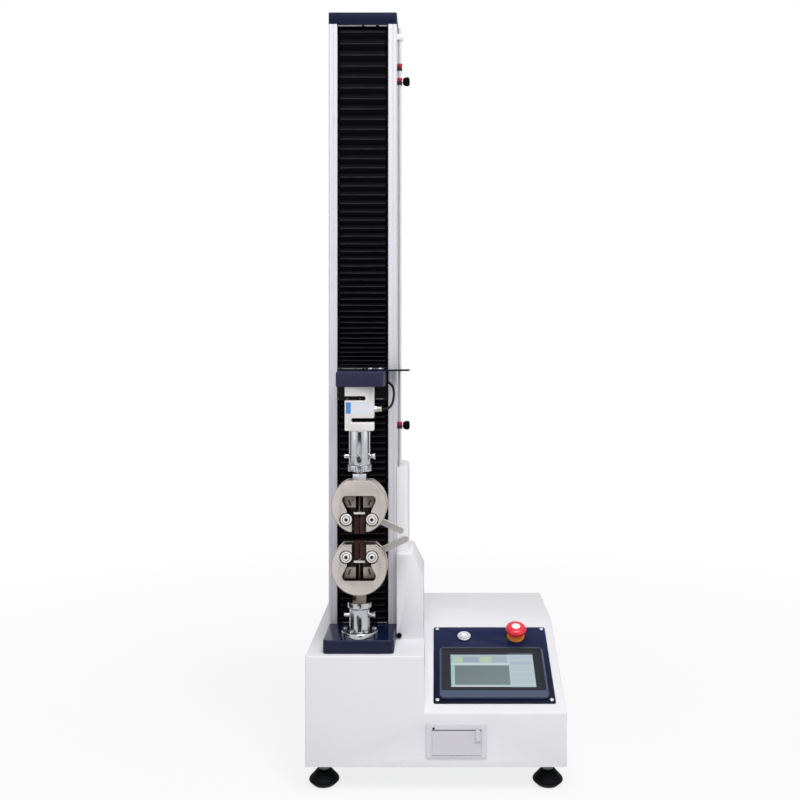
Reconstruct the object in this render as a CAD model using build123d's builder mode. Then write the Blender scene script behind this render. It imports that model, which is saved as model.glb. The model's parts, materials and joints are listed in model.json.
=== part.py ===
from build123d import *
import os
from math import atan2, cos, pi, radians, sin, tan

# Single-column bench-top universal testing machine, in millimetres.
# The origin is the middle of the footprint on the table, +Z is up and the
# operator stands on the -Y side. The machine is drawn at rest, with the
# crosshead where the two grips nearly meet.

# Fits and clearances shared by the whole machine
running_fit = 0.05
moving_gap = 0.4
seat_gap = 0.3
overrun = 5.0

# Cabinet
cabinet_width = 460.0
cabinet_depth = 450.0
cabinet_height = 195.0
foot_height = 45.0
front_face_height = 95.0
slope_run = 229.0
split_x = -21.0
sheet = 2.0
bend_radius = 3.0
base_plate_thickness = 5.0
cabinet_top = foot_height + cabinet_height
cabinet_front = -cabinet_depth / 2
cabinet_right = cabinet_width / 2
lip_z = foot_height + front_face_height
slope_angle = atan2(cabinet_height - front_face_height, slope_run)

# Levelling feet
foot_inset_x = 30.0
foot_inset_y = 35.0
foot_pad_radius = 27.0
foot_sole_radius = 18.0
foot_top_radius = 12.5
foot_bulge_height = 9.0
foot_shoulder_height = 13.0
foot_rubber_height = 28.0
foot_nut_across = 17.0
foot_nut_height = 6.0
foot_stud_radius = 5.0
foot_stud_rise = 18.0
foot_bore_depth = 18.0

# Base block under the column
column_x = -137.5
base_block_width = 126.0
base_block_front = -214.0
base_block_height = 24.0
base_block_corner = 8.0
base_block_edge = 1.5
block_top = cabinet_top + base_block_height

# Column extrusion with its front slot
column_width = 128.0
column_depth = 125.0
column_length = 1125.0
column_rear = 16.0
slot_width = 96.0
slot_lip_depth = 20.0
column_wall = 8.0
column_back_wall = 12.0
column_corner = 3.0
groove_width = 6.0
groove_depth = 2.5
groove_spacing = 50.0
face_groove_width = 1.6
face_groove_depth = 0.8
cap_height = 22.0
cap_corner = 2.0
column_front = column_rear - column_depth
column_top = block_top + column_length
cavity_width = column_width - 2 * column_wall
column_right = column_x + column_width / 2

# Ball screw, guide rods and their bearing blocks
screw_y = -45.0
screw_radius = 8.0
rod_radius = 8.0
rod_offset = 36.0
bearing_block_width = 100.0
bearing_block_depth = 50.0
bearing_block_height = 30.0
rod_end_margin = 6.0
screw_top_margin = 9.0
screw_hole_radius = 14.0

# Belt drive in the cabinet
belt_z = 205.0
belt_width = 16.0
belt_thickness = 2.5
pulley_width = 20.0
pulley_flange = 1.5
pulley_flange_rise = 2.0
screw_pulley_radius = 30.0
motor_pulley_radius = 15.0
motor_y = 85.0
motor_size = 80.0
motor_flange_width = 90.0
motor_flange_thickness = 10.0
motor_length = 130.0
motor_corner = 8.0
motor_shaft_radius = 7.0
motor_shaft_depth = 20.0
screw_tail = 6.0

# Power supply and control board
supply_width = 98.0
supply_length = 200.0
supply_height = 42.0
supply_inset_x = 100.0
supply_inset_y = 135.0
board_length = 150.0
board_width = 110.0
board_thickness = 1.6
board_inset_x = 210.0
board_inset_y = 125.0
board_rise = 10.0
standoff_radius = 3.5
board_margin = 6.0
chip_size = 24.0
chip_height = 4.0
connector_length = 50.0
connector_width = 12.0
connector_height = 14.0

# Crosshead carriage
carriage_z = 687.0
carriage_height = 55.0
carriage_side_gap = 1.5
saddle_width = 104.0
saddle_back = -24.0
bush_radius = 13.0
nut_radius = 14.0
nut_flange_radius = 22.0
nut_flange_height = 8.0
carriage_top = carriage_z + carriage_height

# Crosshead arm and striker plate
axis_y = -179.0
arm_left = -179.0
arm_right = -93.0
arm_front = -204.0
arm_z = 711.6
arm_height = 26.8
arm_corner = 7.0
arm_edge = 1.0
striker_thickness = 3.0
striker_left = -130.0
striker_right = -49.5
striker_front = -135.0
striker_rear = -88.0
striker_screw_x = -122.4
striker_screw_pitch = 18.5
striker_screw_y = -122.0
striker_screw_radius = 4.2
striker_screw_height = 3.0
striker_corner = 3.0
arm_top = arm_z + arm_height
striker_top = arm_top + striker_thickness

# Bellows and the flat frames at their ends
bellows_width = 92.0
bellows_depth = 17.5
fold_depth = 7.0
bellows_front_set_back = 1.5
frame_thickness = 4.0
upper_fold_count = 44
lower_fold_count = 34
upper_pitch_ratio = 3.1
lower_pitch_ratio = 1.0

# Load cell with its gland and lead
cell_width = 52.0
cell_height = 78.9
cell_thickness = 25.0
cell_slot_height = 8.0
cell_bar_height = 16.9
cell_slot_wall = 14.5
cell_lower_bar = 14.7
cell_lower_slot_wall = 10.8
cell_corner = 1.5
gland_z = 671.0
gland_radius = 6.0
gland_length = 13.5
gland_hex_length = 5.0
lead_radius = 2.25
lead_bend_share = 0.45

# Upper coupling
socket_radius = 19.3
socket_length = 62.0
socket_edge = 1.2
spigot_radius = 9.9
spigot_length = 60.0
lock_ring_radius = 21.0
lock_ring_height = 11.0
lock_ring_groove_count = 24
lock_ring_groove_radius = 0.9
stud_radius = 6.0
stud_grip_length = 12.0
hex_across_flats = 24.0
upper_hex_height = 11.0
lower_hex_height = 14.5
cross_pin_radius = 4.0
cross_pin_length = 56.0
cross_pin_head_radius = 6.5
cross_pin_head_length = 8.0
cross_pin_tip = 2.0
upper_pin_z = 586.0
lower_pin_z = 300.0
sight_hole_radius = 4.5
sight_hole_depth = 8.0

# Lower coupling
flange_radius = 32.5
flange_height = 9.0
flange_screw_circle = 26.0
flange_screw_radius = 4.25
flange_screw_height = 5.0
flange_screw_socket = 2.0
flange_screw_count = 6
lower_body_radius = 18.5
rim_radius = 21.5
rim_height = 9.0
rim_taper = 3.0
lower_socket_length = 60.0
spigot_floor = 6.0

# Grips, measured from the line through the two jaw pivots
upper_pivot_z = 474.5
lower_pivot_z = 407.4
grip_radius = 50.0
upper_disc_rise = 24.5
lower_disc_rise = 18.8
upper_far_reach = 69.5
lower_far_reach = 68.8
near_reach = 21.6
grip_front = -197.0
front_plate_thickness = 11.4
back_plate_thickness = 7.0
jaw_thickness = 12.0
lever_thickness = 5.0
slot_reach = 45.5
pivot_offset = 23.0
pivot_radius = 5.0
pivot_head_radius = 10.2
pivot_head_height = 2.5
pivot_cap_radius = 6.2
pivot_cap_height = 2.0
pivot_recess_radius = 10.9
pivot_recess_depth = 2.5
pivot_hex_across = 6.0
pivot_hex_depth = 2.0
window_half_width = 30.0
window_neck = 22.0
window_throat = 13.0
window_top = 42.5
window_shoulder = 32.0
window_neck_height = 11.0
window_bend_height = 16.0
window_corner = 7.0
plate_edge = 0.8

# Jaws and levers of the grips
jaw_reach = 27.0
jaw_face_gap = 0.6
jaw_half_width = 10.3
jaw_lobe_radius = 9.5
shank_low_inner = 4.0
shank_low_height = 12.0
shank_inner = 5.5
shank_outer = 17.0
shank_height = 17.0
tail_inner = 6.8
tail_outer = 28.5
tail_bottom = 21.0
tail_shoulder = 31.0
tail_top = 40.5
tooth_pitch = 1.5
tooth_depth = 0.5
tooth_count = 15
lever_width = 12.0
upper_lever_reach = 55.5
lower_lever_reach = 65.5
lever_angle = 25.0
stop_bar_half_width = 10.0
stop_bar_height = 3.4
stop_bar_level = 8.2
stop_bar_thickness = 2.4
stop_stem_width = 2.0

# Limit rod, stop rings and thumb knobs
limit_rod_x = -68.3
limit_rod_y = -100.0
limit_rod_radius = 3.0
limit_rod_bottom = 272.0
limit_rod_top = 1383.0
ring_radius = 4.7
ring_height = 13.0
top_ring_z = 1310.0
upper_ring_z = 1283.0
lower_ring_z = 636.0
knob_radius = 8.5
knob_length = 13.0
knob_gap = 1.2
knob_neck_radius = 5.5
knob_neck_length = 4.5
knob_stem_radius = 2.0
guide_size = 12.0
guide_height = 10.0
lower_guide_z = 290.0
upper_guide_z = 1366.0
switch_height = 16.0
switch_width = 8.0
switch_travel = 3.5

# Stepped side casing
casing_right = -23.6
casing_front = -126.0
casing_rear = 10.0
casing_step_z = 397.0
casing_top_z = 558.0
casing_upper_right = -53.0
casing_upper_front = -108.0
casing_chamfer_x = 20.4
casing_chamfer_z = 41.0
casing_top_chamfer = 5.0
casing_wall = 1.5
casing_bush_inset = 4.8
casing_bush_lift = 7.3
casing_bush_radius = 4.8
casing_bush_rise = 3.0
casing_bush_neck_radius = 3.0
casing_bush_neck_length = 5.0

# Sloping control panel
panel_width = 218.0
panel_length = 205.0
panel_start = 21.5
panel_thickness = 2.0
panel_corner = 4.0
screen_housing_width = 196.0
screen_housing_height = 132.0
screen_housing_start = 31.0
screen_housing_rise = 6.0
screen_housing_depth = 34.0
screen_housing_corner = 8.0
screen_back_margin = 10.0
bezel_rim = 7.0
bezel_foot = 16.0
bezel_edge = 1.5
bezel_recess = 1.5
glass_width = 160.0
glass_height = 92.0
glass_start = 54.5
glass_thickness = 2.0
switch_row = 198.5
switch_offset = 50.0
switch_hole_radius = 11.0
button_ring_radius = 13.0
button_ring_height = 3.0
button_bore_radius = 9.3
button_radius = 9.0
button_rise = 2.5
button_depth = 12.0
button_tube_depth = 22.0
button_floor = 2.0
collar_flange_radius = 17.0
collar_flange_height = 3.0
collar_radius = 15.0
collar_height = 9.0
collar_bore_radius = 7.3
collar_tube_depth = 30.0
estop_stem_radius = 7.0
estop_stem_depth = 20.0
estop_head_radius = 20.0
estop_head_base = 14.5
estop_head_height = 11.5
estop_skirt_height = 4.0
estop_top_radius = 10.5
screw_inset = 7.0
panel_screw_radius = 3.5
panel_screw_height = 2.0

# Panel printer in the front face
printer_x = 36.0
printer_z = 91.75
printer_width = 107.0
printer_height = 60.0
printer_flange = 3.0
printer_corner = 4.0
printer_body_width = 102.0
printer_body_height = 57.0
printer_body_depth = 50.0
printer_wall = 2.5
door_width = 86.0
door_height = 44.0
door_bottom = 65.5
door_thickness = 2.5
paper_slot = 2.0
door_gap = 0.4
hinge_peg_radius = 0.8
hinge_peg_length = 1.5
latch_width = 7.0
latch_height = 22.0
latch_thickness = 2.5
latch_inset = 2.5
latch_bottom = 91.5
latch_lug = 2.0
latch_peg_radius = 0.7
latch_peg_length = 1.5
roll_radius = 17.0
roll_width = 57.0
roll_core_radius = 6.0
roll_set_back = 30.0
spindle_gap = 0.1

# Rear panel with vents, mains inlet and rocker switch
vent_length = 70.0
vent_height = 4.0
vent_pitch = 10.0
vent_row_count = 8
vent_x = 90.0
vent_z = 160.0
inlet_x = -150.0
inlet_z = 110.0
inlet_flange_width = 50.0
inlet_flange_height = 62.0
inlet_flange_thickness = 2.5
inlet_body_width = 28.0
inlet_body_height = 48.0
inlet_body_depth = 26.0
inlet_corner = 4.0
socket_width = 24.0
socket_height = 16.5
socket_depth = 16.0
socket_drop = 12.0
socket_chamfer = 4.0
inlet_pin_width = 2.0
inlet_pin_height = 4.0
inlet_pin_length = 12.0
inlet_pin_pitch = 7.0
inlet_pin_lift = 2.0
rocker_width = 19.0
rocker_height = 12.0
rocker_lift = 15.0
rocker_rise = 3.5
rocker_depth = 6.0
rocker_axle_radius = 1.5
rocker_axle_length = 2.0


def finish(piece, label):
    """Name a finished piece and write it to its own file."""
    piece.part.label = label
    export_step(piece.part, f"parts/{label}.step")


def finish_group(pieces, label):
    """Write several separate solids that share one node."""
    group = Compound([solid for piece in pieces for solid in piece.part.solids()])
    group.label = label
    export_step(group, f"parts/{label}.step")


def slab(x, y, z, mode=Mode.ADD):
    """A box between pairs of limits along X, Y and Z."""
    with Locations(((x[0] + x[1]) / 2, (y[0] + y[1]) / 2, (z[0] + z[1]) / 2)):
        Box(x[1] - x[0], y[1] - y[0], z[1] - z[0], mode=mode)


def post(centre, radius, z, mode=Mode.ADD):
    """An upright cylinder about a point in plan, between two heights."""
    with Locations((centre[0], centre[1], (z[0] + z[1]) / 2)):
        Cylinder(radius, z[1] - z[0], mode=mode)


def level(height):
    """The horizontal plane at a height."""
    return Plane.XY.offset(height)


def facing_front(y):
    """An upright plane that looks towards the operator, X right and Z up."""
    return Plane(origin=(0, y, 0), x_dir=(1, 0, 0), z_dir=(0, -1, 0))


def facing_right(x):
    """An upright plane that looks to the right, with Y across and Z up."""
    return Plane(origin=(x, 0, 0), x_dir=(0, 1, 0), z_dir=(1, 0, 0))


def on_slope(x, along, rise=0.0):
    """A plane on the sloping panel, a distance up the slope and above it."""
    across = -sin(slope_angle)
    up = cos(slope_angle)
    origin = (x, cabinet_front + along * up + rise * across, lip_z - along * across + rise * up)
    return Plane(origin=origin, x_dir=(1, 0, 0), z_dir=(0, across, up))


os.makedirs("parts", exist_ok=True)

# Places worked out from the sizes above
loading_axis = (column_x, axis_y)
screw_axis = (column_x, screw_y)
motor_axis = (column_x, motor_y)
panel_x = (split_x + cabinet_right) / 2
estop_x = panel_x + switch_offset
button_x = panel_x - switch_offset
foot_x = cabinet_right - foot_inset_x
foot_y = -cabinet_front - foot_inset_y
foot_places = {
    "front_left": (-foot_x, -foot_y),
    "front_right": (foot_x, -foot_y),
    "rear_left": (-foot_x, foot_y),
    "rear_right": (foot_x, foot_y),
}

# Cabinet shell: a flat-topped left half and a sloping right half, one cavity
inner_right = cabinet_right - sheet
inner_top = cabinet_top - sheet
inner_front = cabinet_front + sheet
slope_drop = sheet / cos(slope_angle)
half_slope_shift = sheet * tan(slope_angle / 2)
slope_end_y = cabinet_front + slope_run
with BuildPart() as cabinet_shell:
    with BuildSketch(facing_right(-cabinet_right)):
        with BuildLine():
            left_outline = Polyline(
                (cabinet_front, foot_height),
                (-cabinet_front, foot_height),
                (-cabinet_front, cabinet_top),
                (cabinet_front, cabinet_top),
                close=True,
            )
        make_face()
    extrude(amount=cabinet_right + split_x)
    with BuildSketch(facing_right(split_x)):
        with BuildLine():
            right_outline = Polyline(
                (cabinet_front, foot_height),
                (-cabinet_front, foot_height),
                (-cabinet_front, cabinet_top),
                (slope_end_y, cabinet_top),
                (cabinet_front, lip_z),
                close=True,
            )
        make_face()
    extrude(amount=cabinet_right - split_x)
    front_bends = cabinet_shell.edges().filter_by(Axis.X).group_by(Axis.Y)[0].group_by(Axis.Z)[1:]
    fillet([edge for group in front_bends for edge in group], radius=bend_radius)
    side_bends = cabinet_shell.edges().filter_by(Axis.Z).group_by(Axis.Y)[0:2]
    outer_sides = [e for group in side_bends for e in group if abs(e.center().X) > cabinet_right - sheet]
    fillet([e for e in outer_sides if e.center().Y < 0], radius=bend_radius)
    slab(
        (-inner_right, split_x - sheet),
        (inner_front, -cabinet_front + overrun),
        (foot_height - overrun, inner_top),
        mode=Mode.SUBTRACT,
    )
    with BuildSketch(facing_right(split_x - sheet)):
        with BuildLine():
            cavity_outline = Polyline(
                (inner_front, foot_height - overrun),
                (-cabinet_front + overrun, foot_height - overrun),
                (-cabinet_front + overrun, inner_top),
                (slope_end_y + half_slope_shift, inner_top),
                (inner_front, lip_z - slope_drop + sheet * tan(slope_angle)),
                close=True,
            )
        make_face()
    extrude(amount=inner_right - split_x + sheet, mode=Mode.SUBTRACT)
    # openings for the screw, the printer, the touch screen and the two switches
    post(screw_axis, screw_hole_radius, (inner_top - overrun, cabinet_top + overrun), mode=Mode.SUBTRACT)
    slab(
        (printer_x - printer_body_width / 2, printer_x + printer_body_width / 2),
        (cabinet_front - overrun, inner_front + overrun),
        (printer_z - printer_body_height / 2, printer_z + printer_body_height / 2),
        mode=Mode.SUBTRACT,
    )
    with BuildSketch(on_slope(panel_x, screen_housing_start + screen_housing_height / 2, overrun)):
        Rectangle(
            screen_housing_width - 2 * screen_back_margin,
            screen_housing_height - 2 * screen_back_margin,
        )
    extrude(amount=-(sheet + 2 * overrun), mode=Mode.SUBTRACT)
    with BuildSketch(on_slope(panel_x, switch_row, overrun)):
        with Locations((-switch_offset, 0), (switch_offset, 0)):
            Circle(switch_hole_radius)
    extrude(amount=-(sheet + 2 * overrun), mode=Mode.SUBTRACT)
finish(cabinet_shell, "cabinet_shell")

# Base plate: closes the cabinet and takes the studs of the feet
base_plate_top = foot_height + base_plate_thickness
with BuildPart() as base_plate:
    slab(
        (-inner_right + seat_gap, inner_right - seat_gap),
        (inner_front + seat_gap, -cabinet_front - sheet),
        (foot_height, base_plate_top),
    )
    for place in foot_places.values():
        post(
            place,
            foot_stud_radius + running_fit,
            (foot_height - overrun, base_plate_top + overrun),
            mode=Mode.SUBTRACT,
        )
finish(base_plate, "base_plate")


def levelling_foot(place):
    """A conical rubber foot, and its nut on the stud that turns in the base plate."""
    with BuildPart() as pad:
        with BuildSketch(Plane(origin=(*place, 0), x_dir=(1, 0, 0), z_dir=(0, -1, 0))):
            with BuildLine():
                rubber_side = Polyline(
                    (0, 0),
                    (foot_sole_radius, 0),
                    (foot_pad_radius, foot_bulge_height),
                    (foot_pad_radius - plate_edge, foot_shoulder_height),
                    (foot_top_radius, foot_rubber_height),
                    (0, foot_rubber_height),
                    close=True,
                )
            make_face()
        revolve(axis=Axis((*place, 0), (0, 0, 1)))
        post(place, foot_stud_radius, (foot_rubber_height - foot_bore_depth, foot_height), mode=Mode.SUBTRACT)
    with BuildPart() as stud:
        post(place, foot_stud_radius, (foot_rubber_height - foot_bore_depth, foot_height + foot_stud_rise))
        with BuildSketch(level(foot_rubber_height)):
            with Locations(place):
                RegularPolygon(foot_nut_across / 2, 6, major_radius=False)
        extrude(amount=foot_nut_height)
    return pad, stud


for corner, place in foot_places.items():
    finish_group(levelling_foot(place), f"{corner}_foot")

# Rear panel: vent slots and the cut-out for the inlet module
panel_back = cabinet_depth / 2
with BuildPart() as rear_panel:
    slab(
        (-inner_right + seat_gap, inner_right - seat_gap),
        (panel_back - sheet, panel_back),
        (foot_height, inner_top - seat_gap),
    )
    with BuildSketch(facing_front(panel_back - sheet - overrun)):
        with Locations((-vent_x, vent_z), (vent_x, vent_z)):
            with GridLocations(vent_length, vent_pitch, 1, vent_row_count):
                SlotOverall(vent_length, vent_height)
        with Locations((inlet_x, inlet_z)):
            Rectangle(inlet_body_width, inlet_body_height)
    extrude(amount=-(sheet + 2 * overrun), mode=Mode.SUBTRACT)
finish(rear_panel, "rear_panel")

# Inlet module: a mains inlet below and the frame of the rocker switch above
module_back = panel_back + inlet_flange_thickness
socket_z = inlet_z - socket_drop
rocker_z = inlet_z + rocker_lift
with BuildPart() as power_inlet:
    with BuildSketch(facing_front(panel_back)):
        with Locations((inlet_x, inlet_z)):
            RectangleRounded(inlet_flange_width, inlet_flange_height, inlet_corner)
    extrude(amount=-inlet_flange_thickness)
    slab(
        (inlet_x - inlet_body_width / 2, inlet_x + inlet_body_width / 2),
        (panel_back - inlet_body_depth, panel_back),
        (inlet_z - inlet_body_height / 2, inlet_z + inlet_body_height / 2),
    )
    with BuildSketch(facing_front(module_back - socket_depth)) as socket_mouth:
        with Locations((inlet_x, socket_z)):
            Rectangle(socket_width, socket_height)
        chamfer(socket_mouth.vertices().group_by(Axis.Z)[-1], length=socket_chamfer)
    extrude(amount=-(socket_depth + overrun), mode=Mode.SUBTRACT)
    for across, up in ((-inlet_pin_pitch, 0), (0, inlet_pin_lift), (inlet_pin_pitch, 0)):
        with Locations((inlet_x + across, module_back - socket_depth + inlet_pin_length / 2, socket_z + up)):
            Box(inlet_pin_width, inlet_pin_length, inlet_pin_height)
    slab(
        (inlet_x - rocker_width / 2 - moving_gap, inlet_x + rocker_width / 2 + moving_gap),
        (module_back - rocker_depth - rocker_rise, module_back + overrun),
        (rocker_z - rocker_height / 2 - moving_gap, rocker_z + rocker_height / 2 + moving_gap),
        mode=Mode.SUBTRACT,
    )
    with Locations((inlet_x, module_back - rocker_rise, rocker_z)):
        Cylinder(
            rocker_axle_radius + running_fit,
            rocker_width + 2 * rocker_axle_length,
            rotation=(0, 90, 0),
            mode=Mode.SUBTRACT,
        )
finish(power_inlet, "power_inlet")

# Rocker of the mains switch, a lens-shaped key on two short axle ends
rocker_axis_y = module_back - rocker_rise
with BuildPart() as rocker_switch:
    with BuildSketch(facing_right(inlet_x - rocker_width / 2)):
        with BuildLine():
            Polyline(
                (rocker_axis_y - rocker_depth / 2, rocker_z - rocker_height / 2 + moving_gap),
                (rocker_axis_y, rocker_z - rocker_height / 2),
                (module_back + rocker_rise, rocker_z - rocker_height / 2 + rocker_rise / 2),
                (module_back + rocker_rise / 2, rocker_z),
                (module_back + rocker_rise, rocker_z + rocker_height / 2 - rocker_rise / 2),
                (rocker_axis_y, rocker_z + rocker_height / 2),
                (rocker_axis_y - rocker_depth / 2, rocker_z + rocker_height / 2 - moving_gap),
                close=True,
            )
        make_face()
    extrude(amount=rocker_width)
    with Locations((inlet_x, rocker_axis_y, rocker_z)):
        Cylinder(rocker_axle_radius, rocker_width + 2 * rocker_axle_length - seat_gap, rotation=(0, 90, 0))
finish(rocker_switch, "rocker_switch")

# Column base block
with BuildPart() as column_base_block:
    with BuildSketch(level(cabinet_top)):
        with Locations((column_x, (base_block_front + column_rear) / 2)):
            RectangleRounded(base_block_width, column_rear - base_block_front, base_block_corner)
    extrude(amount=base_block_height)
    chamfer(column_base_block.faces().sort_by(Axis.Z)[-1].edges(), length=base_block_edge)
    post(screw_axis, screw_hole_radius, (cabinet_top - overrun, block_top + overrun), mode=Mode.SUBTRACT)
finish(column_base_block, "column_base_block")

# Column: a slotted channel with lips at the front and shallow grooves outside
column_mid_y = (column_front + column_rear) / 2
with BuildPart() as column_extrusion:
    with BuildSketch(level(block_top)):
        with Locations((column_x, column_mid_y)):
            RectangleRounded(column_width, column_depth, column_corner)
        with Locations((column_x, column_front + slot_lip_depth / 2)):
            Rectangle(slot_width, slot_lip_depth, mode=Mode.SUBTRACT)
        cavity_depth = column_depth - slot_lip_depth - column_back_wall
        with Locations((column_x, column_front + slot_lip_depth + cavity_depth / 2)):
            Rectangle(cavity_width, cavity_depth, mode=Mode.SUBTRACT)
        with Locations((column_x, column_mid_y)):
            with GridLocations(column_width, groove_spacing, 2, 2):
                Rectangle(2 * groove_depth, groove_width, mode=Mode.SUBTRACT)
        with Locations((column_x, column_rear)):
            with GridLocations(groove_spacing, groove_width, 2, 1):
                Rectangle(groove_width, 2 * groove_depth, mode=Mode.SUBTRACT)
        with Locations((column_x, column_front)):
            with GridLocations((column_width + slot_width) / 2, face_groove_width, 2, 1):
                Rectangle(face_groove_width, 2 * face_groove_depth, mode=Mode.SUBTRACT)
    extrude(amount=column_length)
finish(column_extrusion, "column_extrusion")

# Column cap
with BuildPart() as column_cap:
    with BuildSketch(level(column_top)):
        with Locations((column_x, column_mid_y)):
            RectangleRounded(column_width, column_depth, cap_corner)
    extrude(amount=cap_height)
    chamfer(column_cap.faces().sort_by(Axis.Z)[-1].edges(), length=plate_edge)
finish(column_cap, "column_cap")

# Bearing blocks at both ends of the screw, and the two guide rods
rod_places = [(column_x - rod_offset, screw_y), (column_x + rod_offset, screw_y)]
with BuildPart() as bearing_blocks:
    for block_z in (block_top, column_top - bearing_block_height):
        slab(
            (column_x - bearing_block_width / 2, column_x + bearing_block_width / 2),
            (screw_y - bearing_block_depth / 2, screw_y + bearing_block_depth / 2),
            (block_z, block_z + bearing_block_height),
        )
    post(screw_axis, screw_radius + running_fit, (block_top, column_top), mode=Mode.SUBTRACT)
    for place in rod_places:
        post(place, rod_radius, (block_top + rod_end_margin, column_top - rod_end_margin), mode=Mode.SUBTRACT)
with BuildPart() as guide_rods:
    for place in rod_places:
        post(place, rod_radius, (block_top + rod_end_margin, column_top - rod_end_margin))
finish_group((bearing_blocks, guide_rods), "column_guides")

# Ball screw with its toothed pulley below the cabinet top
screw_bottom = belt_z - pulley_width / 2 - pulley_flange - screw_tail
with BuildPart() as screw_shaft:
    post(screw_axis, screw_radius, (screw_bottom, column_top - screw_top_margin))


def pulley(place, radius, bore):
    """A belt pulley with a rim at each end, bored for its shaft."""
    with BuildPart() as wheel:
        post(place, radius, (belt_z - pulley_width / 2, belt_z + pulley_width / 2))
        for side in (-1, 1):
            rim_inner_z = belt_z + side * pulley_width / 2
            rim_z = sorted((rim_inner_z, rim_inner_z + side * pulley_flange))
            post(place, radius + pulley_flange_rise, rim_z)
        post(place, bore, (belt_z - pulley_width, belt_z + pulley_width), mode=Mode.SUBTRACT)
    return wheel


finish_group((screw_shaft, pulley(screw_axis, screw_pulley_radius, screw_radius)), "lead_screw")

# Drive motor on the base plate, with its turning shaft and small pulley
motor_top = base_plate_top + motor_length
motor_face = motor_top - motor_flange_thickness
with BuildPart() as drive_motor:
    with BuildSketch(level(base_plate_top)):
        with Locations(motor_axis):
            RectangleRounded(motor_size, motor_size, motor_corner)
    extrude(amount=motor_length - motor_flange_thickness)
    with BuildSketch(level(motor_face)):
        with Locations(motor_axis):
            RectangleRounded(motor_flange_width, motor_flange_width, motor_corner)
    extrude(amount=motor_flange_thickness)
    post(
        motor_axis,
        motor_shaft_radius + running_fit,
        (motor_top - motor_shaft_depth - seat_gap, motor_top + overrun),
        mode=Mode.SUBTRACT,
    )
finish(drive_motor, "drive_motor")

with BuildPart() as motor_shaft:
    shaft_top = belt_z + pulley_width / 2 + screw_tail
    post(motor_axis, motor_shaft_radius, (motor_top - motor_shaft_depth, shaft_top))
finish_group((motor_shaft, pulley(motor_axis, motor_pulley_radius, motor_shaft_radius)), "motor_pulley")


def belt_outline(margin):
    """The shape of the belt's run round both pulleys, a margin outside them."""
    with BuildSketch(level(belt_z - belt_width / 2)) as outline:
        with Locations(screw_axis):
            Circle(screw_pulley_radius + margin)
        with Locations(motor_axis):
            Circle(motor_pulley_radius + margin)
        make_hull()
    return outline.sketch


# Timing belt
with BuildPart() as drive_belt:
    with BuildSketch(level(belt_z - belt_width / 2)):
        add(belt_outline(seat_gap + belt_thickness))
        add(belt_outline(seat_gap), mode=Mode.SUBTRACT)
    extrude(amount=belt_width)
finish(drive_belt, "drive_belt")

# Power supply, and control board on four standoffs
supply_x = cabinet_right - supply_inset_x
supply_y = -cabinet_front - supply_inset_y
board_x = cabinet_right - board_inset_x
board_y = -cabinet_front - board_inset_y
with BuildPart() as power_supply:
    slab(
        (supply_x - supply_width / 2, supply_x + supply_width / 2),
        (supply_y - supply_length / 2, supply_y + supply_length / 2),
        (base_plate_top, base_plate_top + supply_height),
    )
    with Locations((supply_x, supply_y - supply_length / 2, base_plate_top + supply_height)):
        Box(supply_width - 2 * sheet, 2 * connector_height, connector_height, mode=Mode.SUBTRACT)
board_z = base_plate_top + board_rise
with BuildPart() as control_board:
    slab(
        (board_x - board_width / 2, board_x + board_width / 2),
        (board_y - board_length / 2, board_y + board_length / 2),
        (board_z, board_z + board_thickness),
    )
    with Locations((board_x, board_y, base_plate_top + board_rise / 2)):
        with GridLocations(board_width - 2 * board_margin, board_length - 2 * board_margin, 2, 2):
            Cylinder(standoff_radius, board_rise)
    with Locations((board_x, board_y, board_z + board_thickness + chip_height / 2)):
        Box(chip_size, chip_size, chip_height)
    with Locations((board_x, board_y, board_z + board_thickness + connector_height / 2)):
        with GridLocations(board_width, board_length - 2 * connector_width, 1, 2):
            Box(connector_length, connector_width, connector_height)
finish_group((power_supply, control_board), "control_electronics")

# Side casing: a stepped sheet cover over the lower end of the limit rod
casing_left = column_right + seat_gap
casing_bush_place = (casing_left + casing_bush_inset, cabinet_top + casing_bush_lift)


def casing_outline(inset, floor):
    """The stepped outline of the casing, drawn in from its outer faces."""
    slope_share = casing_chamfer_x / casing_chamfer_z
    half_corner = inset * tan(atan2(casing_chamfer_x, casing_chamfer_z) / 2)
    with BuildSketch(facing_front(casing_rear - inset)) as outline:
        with BuildLine():
            Polyline(
                (casing_left + inset, floor),
                (casing_right - inset, floor),
                (casing_right - inset, casing_step_z - casing_chamfer_z - half_corner),
                (
                    casing_right - casing_chamfer_x - inset + (inset - half_corner) * slope_share,
                    casing_step_z - inset,
                ),
                (casing_upper_right - inset, casing_step_z - inset),
                (casing_upper_right - inset, casing_top_z - casing_top_chamfer),
                (casing_upper_right - casing_top_chamfer, casing_top_z - inset),
                (casing_left + inset, casing_top_z - inset),
                close=True,
            )
        make_face()
    return outline.sketch


def casing_block(inset, floor):
    """The casing as a full block, whose narrow upper part is set back from the front."""
    with BuildPart() as block:
        extrude(casing_outline(inset, floor), amount=casing_rear - casing_front - 2 * inset)
        slab(
            (casing_left - overrun, casing_upper_right),
            (casing_front - overrun, casing_upper_front + inset),
            (casing_step_z - inset, casing_top_z + overrun),
            mode=Mode.SUBTRACT,
        )
    return block.part


with BuildPart() as side_casing:
    add(casing_block(0, cabinet_top))
    add(casing_block(casing_wall, cabinet_top - overrun), mode=Mode.SUBTRACT)
    post(
        (limit_rod_x, limit_rod_y),
        limit_rod_radius + moving_gap,
        (casing_top_z - overrun, casing_top_z + overrun),
        mode=Mode.SUBTRACT,
    )
    with BuildSketch(facing_front(casing_front + casing_wall + moving_gap)):
        with Locations(casing_bush_place):
            Circle(casing_bush_neck_radius + running_fit)
    extrude(amount=casing_wall + 2 * moving_gap, mode=Mode.SUBTRACT)
finish(side_casing, "side_casing")

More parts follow.
